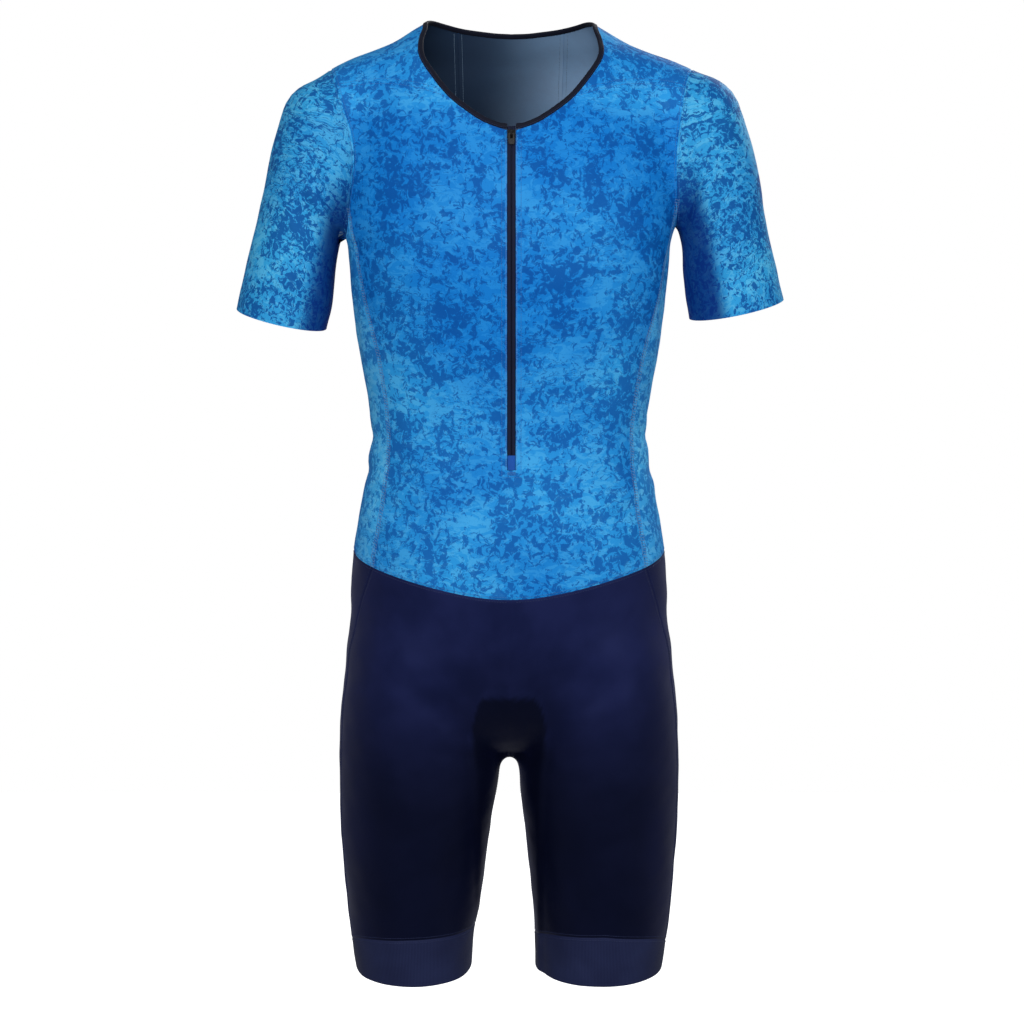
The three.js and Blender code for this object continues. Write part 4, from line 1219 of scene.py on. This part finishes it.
def navy_look(name, deep, lit, pitch=0.9, roughness=0.46, sheen=0.03, specular=0.14):
    """Smooth stretch jersey in a near-black blue, a little uneven in tone and shine."""
    look = Look(name, roughness=roughness, sheen=sheen, specular=specular)
    look.shader.inputs["Sheen Tint"].default_value = linear("#5566e0")
    look.shader.inputs["Specular Tint"].default_value = linear("#8a98ff")
    cloudy = look.noise(look.flat(), 14, 3.0, 0.55)
    fine = look.noise(look.flat(), 900, 2.0, 0.6)
    shade = look.math("ADD", look.math("MULTIPLY", cloudy, 0.75), look.math("MULTIPLY", fine, 0.25))
    # 04060f is the colour of full painted shade on the navy
    look.colour(look.blend(look.ranged(shade, 0.35, 0.65), linear(deep), linear(lit)), "#04060f")
    look.rough(look.ranged(cloudy, 0.35, 0.65, roughness - 0.05, roughness + 0.06))
    look.bump(knit_height(look, pitch), 0.3, 0.12)
    return look.material


def band_look():
    """A denser knit with fine ribs along the leg."""
    look = Look("band_knit", roughness=0.6, sheen=0.03, specular=0.12)
    ribs = look.bands(look.flat(), 0.314 / (1.5 * MM), 0.3, "X")
    fine = look.noise(look.flat(), 700, 2.0, 0.6)
    cloudy = look.noise(look.flat(), 22, 2.0, 0.5)
    shade = look.math("ADD", look.math("MULTIPLY", ribs, 0.35), look.math("MULTIPLY", cloudy, 0.65))
    look.colour(look.blend(look.ranged(shade, 0.25, 0.75), linear("#171d3d"), linear("#222a4e")))
    look.rough(look.ranged(fine, 0.35, 0.65, 0.55, 0.68))
    look.bump(look.math("ADD", ribs, look.math("MULTIPLY", fine, 0.5)), 0.35, 0.18)
    return look.material


def woven_look(name, deep, lit, pitch=0.6, roughness=0.7):
    """A fine weave or rib for bindings and tapes."""
    look = Look(name, roughness=roughness, sheen=0.03, specular=0.15)
    over = look.bands(look.flat(), 0.314 / (pitch * MM), 0.5, "Y")
    under = look.bands(look.flat(), 0.314 / (pitch * 1.3 * MM), 0.5, "X")
    weave = look.math("MAXIMUM", over, under)
    cloudy = look.noise(look.flat(), 60, 2.0, 0.5)
    shade = look.math("ADD", look.math("MULTIPLY", weave, 0.5), look.math("MULTIPLY", cloudy, 0.5))
    look.colour(look.blend(look.ranged(shade, 0.3, 0.8), linear(deep), linear(lit)))
    look.rough(look.ranged(cloudy, 0.3, 0.7, roughness - 0.06, roughness + 0.06))
    look.bump(weave, 0.4, 0.15)
    return look.material


def thread_look(name, deep, lit):
    """Twisted polyester thread."""
    look = Look(name, roughness=0.5, specular=0.2)
    place = look.place()
    twist = look.bands(place, 0.314 / (0.45 * MM), 1.5, "DIAGONAL")
    cloudy = look.noise(place, 120, 2.0, 0.5)
    shade = look.math("ADD", look.math("MULTIPLY", twist, 0.6), look.math("MULTIPLY", cloudy, 0.4))
    look.colour(look.blend(look.ranged(shade, 0.25, 0.75), linear(deep), linear(lit)))
    look.rough(look.ranged(cloudy, 0.3, 0.7, 0.42, 0.58))
    look.bump(twist, 0.4, 0.08)
    return look.material


def metal_look():
    """Dark painted metal, a little worn and scuffed."""
    look = Look("slider_paint", roughness=0.36, specular=0.5, metallic=0.6)
    place = look.place()
    worn = look.noise(place, 900, 4.0, 0.6)
    scuffs = look.noise(place, 2600, 3.0, 0.6)
    look.colour(look.blend(look.ranged(worn, 0.48, 0.72), linear("#030304"), linear("#100e0d")))
    look.rough(look.ranged(scuffs, 0.3, 0.7, 0.3, 0.52))
    look.bump(scuffs, 0.15, 0.05)
    return look.material


def floor_look():
    look = Look("floor_paint", roughness=0.85, specular=0.2)
    cloudy = look.noise(look.place(), 3, 2.0)
    look.colour(look.blend(cloudy, linear("#f4f5f6"), linear("#fbfbfc")))
    look.shader.inputs["Emission Color"].default_value = (1, 1, 1, 1)
    look.shader.inputs["Emission Strength"].default_value = 0.8
    return look.material


PRINT_FRONT = print_look("print_front", lift=0.05, chest=0.5)
PRINT_BACK = print_look("print_back", lift=0.12, chest=0.15)
PRINT_SIDE = print_look("print_side", SIDE_INKS, lift=0.3, contrast=0.9)
PRINT_SLEEVE = print_look("print_sleeve", SLEEVE_INKS, lift=0.25, contrast=0.95, fineness=1.3)
PRINT_INSIDE = print_look("print_reverse", inside=True)
NAVY = navy_look("navy_cloth", "#12183a", "#191f46", sheen=0.07, specular=0.22)
NAVY_INSIDE = navy_look("navy_reverse", "#0f1429", "#161c34", roughness=0.7, sheen=0.0, specular=0.08)
BAND = band_look()
TRIM = woven_look("binding_knit", "#070a16", "#121628")
TAPE = woven_look("tape_weave", "#0a1024", "#141c38", pitch=0.8)
STOP_CLOTH = woven_look("end_cloth", "#123f93", "#1d5cb4")
BLUE_THREAD = thread_look("thread_blue", "#2b62ac", "#4a8acb")
EDGE_THREAD = thread_look("thread_edge", "#4a7fc0", "#7fb0dd")
FLATLOCK_THREAD = thread_look("thread_flatlock", "#4a70a8", "#7d9fcb")
PALE_THREAD = thread_look("thread_pale", "#5c7897", "#8ea6bd")
NAVY_THREAD = thread_look("thread_navy", "#1a2140", "#323c66")
METAL = metal_look()
PAD_CLOTH = navy_look("pad_knit", "#0d0f18", "#191c2a", pitch=1.2, roughness=0.8, sheen=0.0, specular=0.1)


# Folds of the cloth, placed one by one


def both_sides(view, marks, width, height, ridge=0.4, shift=0.0):
    """The same fold on the right and, turned over and a little different, on the left."""
    fold(view, marks, width, height, ridge)
    other = [(-a + shift, z + shift) for a, z in marks]
    fold(view, other, width * 1.12, height * 0.9, ridge)


both_sides("front", [(-204, -152), (-193, -180), (-178, -208)], 5, 2.2, 0.6, 2)
both_sides("front", [(-188, -146), (-182, -176), (-173, -202)], 4.5, -2.2, 0.3, 1)
both_sides("front", [(-216, -172), (-206, -196), (-193, -216)], 7, -1.7, 0.5, -2)
both_sides("front", [(-168, -203), (-150, -190), (-126, -180), (-100, -176)], 8, -1.3, 0.5, 3)
both_sides("front", [(-160, -232), (-140, -222), (-114, -219)], 8, -1.1, 0.5, -3)
both_sides("back", [(-170, -200), (-150, -182), (-122, -168), (-92, -160)], 9, -2.0, 0.5, 3)
both_sides("back", [(-164, -228), (-142, -216), (-112, -208)], 9, -1.7, 0.5, -4)
both_sides("back", [(-198, -160), (-190, -184), (-178, -208)], 6, -2.0, 0.5, 2)
both_sides("back", [(-150, -395), (-118, -402), (-84, -398), (-52, -405)], 8, -1.8, 0.5, 4)
both_sides("back", [(-140, -428), (-108, -438), (-70, -436), (-30, -442)], 9, -2.2, 0.5, -5)
both_sides("back", [(-136, -462), (-100, -470), (-60, -474)], 8, -1.6, 0.5, 6)
both_sides("back", [(-152, -700), (-110, -728), (-66, -738), (-26, -728)], 12, -2.4, 0.4, 3)
both_sides("front", [(-24, -724), (-52, -700), (-86, -676), (-118, -648)], 12, -1.9, 0.5, 4)
both_sides("front", [(-18, -742), (-44, -736), (-76, -726)], 8, -1.5, 0.5, -3)
both_sides("front", [(-136, -436), (-112, -446), (-86, -444)], 7, -1.2, 0.5, 3)
both_sides("front", [(-142, -476), (-114, -488), (-88, -486)], 8, -1.2, 0.5, -4)
both_sides("back", [(-150, -900), (-110, -908), (-70, -902)], 9, -1.2, 0.5, 5)
for way in ("left", "right"):
    fold(way, [(-60, -408), (-20, -416), (20, -410), (55, -402)], 8, -1.7, 0.5)
    fold(way, [(-52, -444), (-10, -450), (34, -446)], 8, -1.6, 0.5)
    fold(way, [(-44, -252), (-30, -290), (-22, -340)], 9, -1.2, 0.5)
    fold(way, [(30, -246), (24, -280), (10, -330)], 8, -1.1, 0.5)
fold("front", [(-34, -640), (-6, -628), (26, -634)], 10, 1.2, 0.5)
fold("front", [(40, -656), (70, -652), (104, -668)], 18, -1.8, 0.3)
fold("front", [(-50, -820), (-58, -860), (-62, -900)], 12, -1.2, 0.4)
fold("front", [(58, -812), (70, -856), (78, -902)], 13, -1.2, 0.4)
fold("front", [(74, -944), (80, -956), (88, -972)], 5, -1.0, 0.5)
fold("front", [(112, -946), (116, -958), (118, -970)], 6, -0.8, 0.5)
fold("front", [(-238, -260), (-222, -276), (-202, -286)], 8, -1.2, 0.5)
fold("front", [(246, -234), (226, -252), (204, -264)], 8, -1.3, 0.5)


# Seam lines of this suit

slot = {side: slot_edge(side) for side in SIDES}
side_front = {side: side_seam(side, True) for side in SIDES}
side_back = {side: side_seam(side, False) for side in SIDES}
shoulder = {side: shoulder_seam(side) for side in SIDES}
middle_back = {side: back_seam(side) for side in SIDES}
leg_front = {side: leg_side_seam(side, True) for side in SIDES}
leg_back = {side: leg_side_seam(side, False) for side in SIDES}
leg_inseam = {side: inseam(side) for side in SIDES}


def armhole_parts(side):
    low, high, behind = (ARMHOLE_ANGLE[key] for key in ("side_front", "shoulder", "side_back"))
    return {
        "front": armhole_arc(side, STEPS["armhole_front"], low, high),
        "back": armhole_arc(side, STEPS["armhole_back"], behind, high),
        "under": armhole_arc(side, STEPS["armhole_under"], low, behind - 360),
    }


armhole = {side: armhole_parts(side) for side in SIDES}


def neck_front(side):
    return neck_arc(side, STEPS["neck_front"], NECK_AT_SHOULDER_SEAM, NECK_AT_ZIP)


def neck_side(side):
    return neck_arc(side, STEPS["neck_side"], NECK_AT_BACK_SEAM, NECK_AT_SHOULDER_SEAM)


def neck_back(side):
    return neck_arc(side, STEPS["back_half"], NECK_AT_BACK_SEAM, NECK_AT_BACK)


def waist_parts(side):
    front_side = waist_angle(SIDE_SEAM_WAIST["front"], True)
    at_slot = waist_angle(ZIP["slot_half"] + side * CENTRE_FRONT, True)
    back_side = waist_angle(SIDE_SEAM_WAIST["back"], False)
    middle = waist_angle(BACK_SEAM_WAIST, False)

    def arc(steps, first, last):
        return waist_arc(steps, side * first, side * last)

    return {
        "front": arc(STEPS["shoulder_seam"] + STEPS["neck_front"], front_side, at_slot),
        "side": arc(STEPS["armhole_under"], front_side, back_side),
        "back_side": arc(STEPS["shoulder_seam"], back_side, middle),
        "back_middle": arc(STEPS["back_half"], middle, 180),
    }


waist = {side: waist_parts(side) for side in SIDES}


def leg_ring(side, height):
    front, back = LEG_SIDE_SEAM["front"][-1], LEG_SIDE_SEAM["back"][-1]
    front_steps = STEPS["shoulder_seam"] + STEPS["neck_front"] + 1
    return {
        "front": leg_arc(side, front_steps, front, INSEAM_ANGLE - 360, height),
        "side": leg_arc(side, STEPS["armhole_under"], front, back, height),
        "back": leg_arc(side, STEPS["shoulder_seam"] + STEPS["back_half"], back, INSEAM_ANGLE, height),
    }


# Cloth pieces.


def put_in_place(made, slot_name, *nodes, body=SUIT):
    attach(made, body)
    if nodes:
        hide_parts(*nodes)
    return made


def cloth_piece(node, grids, materials, slot_name, shade_of=no_shade):
    made = shell(node + "_cloth", grids, materials, shade_of)
    put_in_place(made, slot_name, node)
    return made


def front_piece():
    grids = []
    for side in SIDES:
        top = joined(shoulder[side], neck_front(side))
        outer = joined(side_front[side], armhole[side]["front"])
        grid = patch(waist[side]["front"], top, outer, slot[side])
        made = finished(grid, "lb", -1)
        made["flat"][..., 0] = -side * made["flat"][..., 0] + side * ZIP["slot_half"]
        grids.append(made)
    rows = STEPS["slot_end_row"] * FINE
    below = np.stack([grids[0]["points"][: rows + 3, -1], grids[1]["points"][: rows + 3, -1]], 1)
    middle = spread(below, np.arange(rows + 3.0), np.linspace(0, 1, 4))
    flat = np.stack([grids[0]["flat"][: rows + 3, -1], grids[1]["flat"][: rows + 3, -1]], 1)
    middle_flat = spread(flat, np.arange(rows + 3.0), np.linspace(0, 1, 4))
    seam = np.repeat(grids[0]["seam"][: rows + 3, -1:], 4, axis=1)
    grids.append({"points": middle, "flat": middle_flat, "seam": seam})
    cloth_piece("front", grids, (PRINT_FRONT, PRINT_INSIDE), "print")


def back_pieces():
    for side in SIDES:
        outer = joined(side_back[side], armhole[side]["back"])
        inner = joined(middle_back[side], neck_side(side))
        grid = patch(waist[side]["back_side"], shoulder[side], outer, inner)
        made = finished(grid, "lb", -1)
        made["flat"] += (2000 + 700 * side, 0)
        cloth_piece("back_" + side_name(side), [made], (PRINT_BACK, PRINT_INSIDE), "print")
    bottom = joined(waist[-1]["back_middle"], waist[1]["back_middle"][::-1])
    top = joined(neck_back(-1), neck_back(1)[::-1])
    made = finished(patch(bottom, top, middle_back[-1], middle_back[1]), "lrb", len(bottom) // 2)
    made["flat"] += (4000, 300)
    cloth_piece("back_middle", [made], (PRINT_BACK, PRINT_INSIDE), "print")


def side_pieces():
    for side in SIDES:
        grid = patch(waist[side]["side"], armhole[side]["under"], side_front[side], side_back[side])
        made = finished(grid, "lrbt", 0)
        made["flat"] += (5000 + 300 * side, 100)
        cloth_piece("side_" + side_name(side), [made], (PRINT_SIDE, PRINT_INSIDE), "print")


def armhole_ring(side):
    parts = armhole[side]
    return joined(joined(parts["front"], parts["back"][::-1]), parts["under"][::-1])


def sleeve_pieces():
    low, high, behind = (ARMHOLE_ANGLE[key] for key in ("side_front", "shoulder", "side_back"))
    over_shoulder = joined(
        mix(low, high, shares(STEPS["armhole_front"])),
        mix(high, behind, shares(STEPS["armhole_back"])),
    )
    degrees = joined(
        over_shoulder,
        mix(behind, low + 360, shares(STEPS["armhole_under"])),
    )
    angle = np.radians(degrees)
    for side in SIDES:
        arm = ARM_FRAMES[side]
        way = arm["across"] * np.sin(angle)[:, None] - arm["depth"] * np.cos(angle)[:, None]
        hem = cast(arm["hem"] + arm["along"] * (SLEEVE_HEM_DIP * np.cos(angle))[:, None], way)
        grid = tube(armhole_ring(side), hem, STEPS["sleeve"])
        grid[:, -1] = grid[:, 0]
        made = finished(grid, "b", STEPS["armhole_front"] * FINE)
        made["flat"] += (7000 + 600 * side, 200)
        sleeve_looks = (PRINT_SLEEVE, PRINT_INSIDE)
        cloth_piece("sleeve_" + side_name(side), [made], sleeve_looks, "print", sleeve_shade)


centre_front = (slot[-1][0] + slot[1][0]) / 2


def shorts_pieces():
    for to_front in (True, False):
        start = centre_front if to_front else waist_points(np.array([180.0]))[0]
        middle = rise_seam(start, to_front)
        grids = []
        for side in SIDES:
            inner = joined(middle, leg_inseam[side])
            outer = (leg_front if to_front else leg_back)[side]
            ring = leg_ring(side, gripper_height)
            if to_front:
                half = waist[side]["front"]
                gap = mix(half[-1], centre_front, shares(1)[:, None])
                top = joined(half, gap)
                bottom = ring["front"]
            else:
                top = joined(waist[side]["back_side"], waist[side]["back_middle"])
                bottom = ring["back"]
            grid = patch(bottom, top, outer[::-1], inner[::-1])
            made = finished(grid, "lbt", -1)
            if side > 0:
                made["flat"][..., 0] *= -1
            made["flat"] += (0, 0) if to_front else (3000, 0)
            grids.append(made)
        node = "shorts_front" if to_front else "shorts_back"
        cloth_piece(node, grids, (NAVY, NAVY_INSIDE), "navy", shorts_shade)


def shorts_side_pieces():
    for side in SIDES:
        bottom = leg_ring(side, gripper_height)["side"]
        grid = patch(bottom, waist[side]["side"], leg_front[side][::-1], leg_back[side][::-1])
        made = finished(grid, "lrbt", 0)
        node = "shorts_side_" + side_name(side)
        cloth_piece(node, [made], (NAVY, NAVY_INSIDE), "navy", shorts_shade)


def whole_ring(side, height):
    ring = leg_ring(side, height)
    return joined(joined(ring["side"], ring["back"]), ring["front"][::-1])


def gripper_pieces():
    for side in SIDES:
        grid = tube(whole_ring(side, gripper_height), whole_ring(side, hem_height), STEPS["gripper"])
        grid[:, -1] = grid[:, 0]
        made = finished(grid, "b", 0)
        cloth_piece("gripper_" + side_name(side), [made], (BAND, NAVY_INSIDE), "band")


front_piece()
back_pieces()
side_pieces()
sleeve_pieces()
shorts_pieces()
shorts_side_pieces()
gripper_pieces()


# Seam stitching

SEAM_ROWS = (-2.6, 2.6)


def seam_stitches(group, line, rows=SEAM_ROWS):
    for aside in rows:
        stitch_row(group, line, aside)


FLATLOCK_PITCH = 2.9


def flatlock(group, line, half=2.6):
    """Two rows of stitches with slanting threads laid across the seam from one to the other."""
    seam_stitches(group, line, (-half, half))
    points, out = lifted(line, SHELL / 2)
    places, way, out = resampled(points, out, FLATLOCK_PITCH)
    across = np.cross(out, way)
    add_dashes(group, places + out * 0.3, unit(across + way * 0.35), out, length=2 * half, half_width=0.3)


for side in SIDES:
    flatlock("stitches_flat", side_front[side])
    flatlock("stitches_flat", side_back[side])
    seam_stitches("stitches_top", shoulder[side])
    seam_stitches("stitches_top", armhole_ring(side), (-2.2, 2.2))
    seam_stitches("stitches_back", middle_back[side])
    for aside in (-4.0, 4.0):
        stitch_row("stitches_inside", middle_back[side], aside, inside=True)
    seam_stitches("stitches_shorts", leg_front[side])
    seam_stitches("stitches_shorts", leg_back[side])
    seam_stitches("stitches_shorts", leg_inseam[side][4:])
    seam_stitches("stitches_shorts", whole_ring(side, gripper_height))


def half_waist(edges):
    """One side's half of the waist line, joined from the edges of its four pieces."""
    front_and_side = joined(edges["front"][::-1], edges["side"])
    return joined(joined(front_and_side, edges["back_side"]), edges["back_middle"])


whole_waist = half_waist(waist[1])
other_waist = half_waist(waist[-1])
for half, side in ((whole_waist, 1), (other_waist, -1)):
    stitch_row("stitches_top", half, 2.4 * side)
    stitch_row("stitches_shorts", half, -2.4 * side)

for side in SIDES:
    z = np.linspace(ZIP["slot_end"] - 6, -118, 90)
    stitch_row("stitches_top", facing(CENTRE_FRONT + side * 9.5, z, True), 0)
    edge = np.linspace(ZIP["slot_end"], slot[side][-1, 2] - 4, 90)
    stitch_row("stitches_edge", facing(CENTRE_FRONT + side * 5.3, edge, True), 0, pitch=2.2)
x = np.linspace(-9.5, 9.5, 8)
stitch_row("stitches_top", facing(CENTRE_FRONT + x, np.full(8, ZIP["slot_end"] - 7.0), True), 0)

for group, look in (
    ("stitches_top", BLUE_THREAD),
    ("stitches_back", BLUE_THREAD),
    ("stitches_edge", EDGE_THREAD),
    ("stitches_flat", FLATLOCK_THREAD),
    ("stitches_inside", PALE_THREAD),
    ("stitches_shorts", NAVY_THREAD),
):
    made = make_stitches(group, look)
    put_in_place(made, "navy" if group == "stitches_shorts" else "print")


# Trim


BINDING_END_RISE = 1.6


def neck_binding():
    def one_side(side):
        return joined(joined(neck_front(side)[::-1], neck_side(side)[::-1]), neck_back(side))

    line = joined(one_side(-1), one_side(1)[::-1])
    points, normals = lifted(line, 0)
    along = unit(np.gradient(points, axis=0))
    across = unit(np.cross(normals, along))
    across *= np.sign(np.einsum("ij,ij->i", across, NECK_TOP - points))[:, None]
    up = unit(np.array([0.0, 0, 1]) - normals * normals[:, 2:])
    ends = np.minimum(np.arange(len(line)), np.arange(len(line))[::-1])
    share = step_up(ends, 4, 0)[:, None]
    across = unit(mix(across, up, share))
    centres = points + across * BINDING["width"] / 2
    centres[:, 2] += BINDING_END_RISE * step_up(ends, 3, 0)
    profile = rounded(BINDING["width"], BINDING["thickness"] - 0.4, 20, 3.0)
    made = sweep("neck_binding_knit", centres, across, normals, profile, TRIM)
    put_in_place(made, "binding", "neck_binding")
    lower = points + across * 1.2 + normals * (BINDING["thickness"] / 2 - 0.25)
    places, way, out = resampled(lower, normals, 2.4)
    add_dashes("stitches_binding", places, way, out, length=2.0)
    made = make_stitches("stitches_binding", NAVY_THREAD)
    put_in_place(made, "binding")


def zip_tape():
    top = neck_points(1, np.array([NECK_AT_ZIP]))[0, 2] + BINDING["width"] * 0.8
    z = np.arange(ZIP["tape_end"], top, 2.0)
    points, normals = lifted(facing(np.full(len(z), CENTRE_FRONT), z, True), 0)
    across = np.tile([1.0, 0, 0], (len(z), 1))
    half = ZIP["tape_half"]
    for side in SIDES:
        profile_start = [(0.12, -0.7), (0.12, 0.15), (0.7, 0.55), (1.6, 0.75), (2.6, 0.7)]
        profile_end = [(half - 0.3, 0.6), (half, 0.2), (half, -0.7)]
        profile = np.array(profile_start + profile_end)
        profile[:, 0] *= side
        if side < 0:
            profile = profile[::-1]
        made = sweep("zip_tape_" + side_name(side), points, across, normals, profile[::-1], TAPE)
        if side < 0:
            put_in_place(made, "tape", "zip_tape")
        else:
            put_in_place(made, "tape")
    places, way, out = resampled(points, normals, 1.35)
    for side in SIDES:
        teeth = places + np.array([side * 0.62, 0, 0]) + out * 0.42
        lean = unit(way * 0.45 + np.array([side * 0.9, 0, 0]))
        add_dashes("zip_coil", teeth, lean, out, length=1.35, half_width=0.34, half_height=0.3)
    put_in_place(make_stitches("zip_coil", TAPE), "tape")


def zip_end():
    z = np.linspace(ZIP["slot_end"] + 0.4, ZIP["tape_end"] - 0.2, 8)
    points, normals = lifted(facing(np.full(len(z), CENTRE_FRONT), z, True), 0)
    across = np.tile([1.0, 0, 0], (len(z), 1))
    end_outline = rounded(2 * ZIP["tape_half"], 2.2, 16, 3.5)
    made = sweep("zip_end_cloth", points, across, normals, end_outline, STOP_CLOTH)
    put_in_place(made, "zip_end", "zip_end")
    rows = np.linspace(ZIP["slot_end"] - 4.5, ZIP["slot_end"] - 1.5, 5)
    for height in rows:
        line = facing(CENTRE_FRONT + np.linspace(-4.2, 4.2, 5), np.full(5, height), True)
        stitch_row("stitches_tack", line, 0, pitch=2.1)
    put_in_place(make_stitches("stitches_tack", BLUE_THREAD), "print")


def bevelled_copy(node, name, material, body):
    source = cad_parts[node]
    made = bpy.data.objects.new(name, source.data.copy())
    bpy.context.scene.collection.objects.link(made)
    made.data.materials.clear()
    made.data.materials.append(material)
    bevel = made.modifiers.new("edges", "BEVEL")
    bevel.width = 0.22 * MM
    bevel.segments = 2
    bevel.limit_method = "ANGLE"
    bevel.angle_limit = math.radians(35)
    made.data.polygons.foreach_set("use_smooth", np.ones(len(made.data.polygons), bool))
    made.data.set_sharp_from_angle(angle=math.radians(30))
    put_in_place(made, "slider", node, body=body)
    return made


def seat_pad():
    start, finish = pad_ends()
    rows, columns = PAD["rows"], PAD["columns"]
    t = np.linspace(0, 1, rows + 1)[:, None]
    u = np.linspace(-1, 1, columns + 1)[None, :]
    turn = mix(start, finish, t)
    way = vectors_of(0, -np.cos(turn), -np.sin(turn))
    middle = cast(PAD_CENTRE, way)
    x = u * column(PAD_HALF, "half", t, "at")
    spot = np.repeat(middle, columns + 1, axis=1)
    spot[..., 0] = x * 0.9
    spot += np.repeat(way, columns + 1, axis=1) * (np.abs(x) * 0.12)[..., None]
    grid = settle(spot, 6)
    across = steps_between(grid, 1)
    flat = np.stack([across - across[:, columns // 2 : columns // 2 + 1], steps_between(grid, 0)], -1)
    points = grid.reshape(-1, 3)
    normals = normals_at(points)
    edge = np.minimum(1 - np.abs(u), 2.2 * np.minimum(t, 1 - t))
    crown = step_up(edge, 0.0, 0.42)
    channel = np.exp(-(((np.abs(u) - 0.3) / 0.05) ** 2)) * step_up(t, 0.2, 0.3) * step_up(1 - t, 0.08, 0.2)
    depth = (1.2 + 5.6 * crown - 2.6 * channel).ravel()
    push = cloth_shift(points, normals)
    outer = points + normals * (push - 0.75)[:, None]
    inner = points + normals * (push - 0.75 - depth)[:, None]
    quads = grid_quads(rows + 1, columns + 1)
    a, b, c, d = (points[quads[:, k]] for k in range(4))
    if np.einsum("ij,ij->i", np.cross(c - a, d - b), normals[quads[:, 0]]).sum() < 0:
        quads = quads[:, ::-1]
    index = np.arange((rows + 1) * (columns + 1)).reshape(rows + 1, columns + 1)
    border = np.concatenate([index[0, :-1], index[:-1, -1], index[-1, :0:-1], index[:0:-1, 0]])
    count = len(points)
    used = {(f[k], f[(k + 1) % 4]) for f in quads.tolist() for k in range(4)}
    rim = []
    for a, b in zip(border.tolist(), np.roll(border, -1).tolist()):
        if (a, b) not in used:
            a, b = b, a
        rim.append([b, a, a + count, b + count])
    faces = quads.tolist() + (quads[:, ::-1] + count).tolist() + rim
    made = make_object("seat_pad_foam", np.concatenate([outer, inner]), faces)
    both = np.concatenate([flat.reshape(-1, 2)] * 2)
    give_flat(made, both[np.array(faces).ravel()])
    made.data.materials.append(PAD_CLOTH)
    put_in_place(made, "pad", "seat_pad")


neck_binding()
zip_tape()
zip_end()
bevelled_copy("zip_slider", "zip_slider_body", METAL, SUIT)
bevelled_copy("zip_pull", "zip_pull_tab", METAL, PULL_BODY)
seat_pad()


# Camera, light and floor

CAMERA_PLACE = (0.00309, -2.8, -0.2351)
CAMERA_PITCH = 5.274
CAMERA_LENS = 95.98
FLOOR_HEIGHT = -1.3


def add_camera():
    data = bpy.data.cameras.new("camera")
    data.lens = CAMERA_LENS
    data.sensor_width = 36
    data.clip_end = 50
    made = bpy.data.objects.new("camera", data)
    made.location = CAMERA_PLACE
    made.rotation_euler = (math.radians(90 - CAMERA_PITCH), 0, 0)
    bpy.context.scene.collection.objects.link(made)
    bpy.context.scene.camera = made


def add_light(name, place, target, size, watts):
    data = bpy.data.lights.new(name, "AREA")
    data.size = size
    data.energy = watts
    made = bpy.data.objects.new(name, data)
    made.location = place
    way = np.array(target) - np.array(place)
    flat = math.hypot(way[0], way[1])
    made.rotation_euler = (math.atan2(flat, -way[2]), 0, math.atan2(way[1], way[0]) - math.pi / 2)
    bpy.context.scene.collection.objects.link(made)


def add_world():
    world = bpy.data.worlds.new("studio")
    world.use_nodes = True
    bpy.context.scene.world = world
    tree = world.node_tree
    shader = tree.nodes["Background"]
    shader.inputs["Color"].default_value = (1, 1, 1, 1)
    seen = tree.nodes.new("ShaderNodeLightPath")
    strength = tree.nodes.new("ShaderNodeMapRange")
    strength.inputs["To Min"].default_value = 0.27
    strength.inputs["To Max"].default_value = 1.0
    tree.links.new(seen.outputs["Is Camera Ray"], strength.inputs["Value"])
    tree.links.new(strength.outputs["Result"], shader.inputs["Strength"])


def add_floor():
    size = 2.6
    corners = [(-size, -size), (size, -size), (size, size), (-size, size)]
    floor_points = [(x / MM, y / MM, FLOOR_HEIGHT / MM) for x, y in corners]
    made = make_object("floor", floor_points, [(0, 1, 2, 3)], False)
    made.data.materials.append(floor_look())
    made.visible_diffuse = False
    made.visible_glossy = False


add_camera()
add_light("key", (-0.7, -2.9, 0.8), (0, 0, -0.4), 1.7, 58)
add_light("fill", (1.9, -2.3, 0.3), (0, 0, -0.45), 1.3, 27)
add_light("back", (1.5, 2.4, 1.1), (0, 0, -0.4), 1.6, 40)
add_world()
add_floor()
bpy.context.scene.view_settings.view_transform = "Standard"
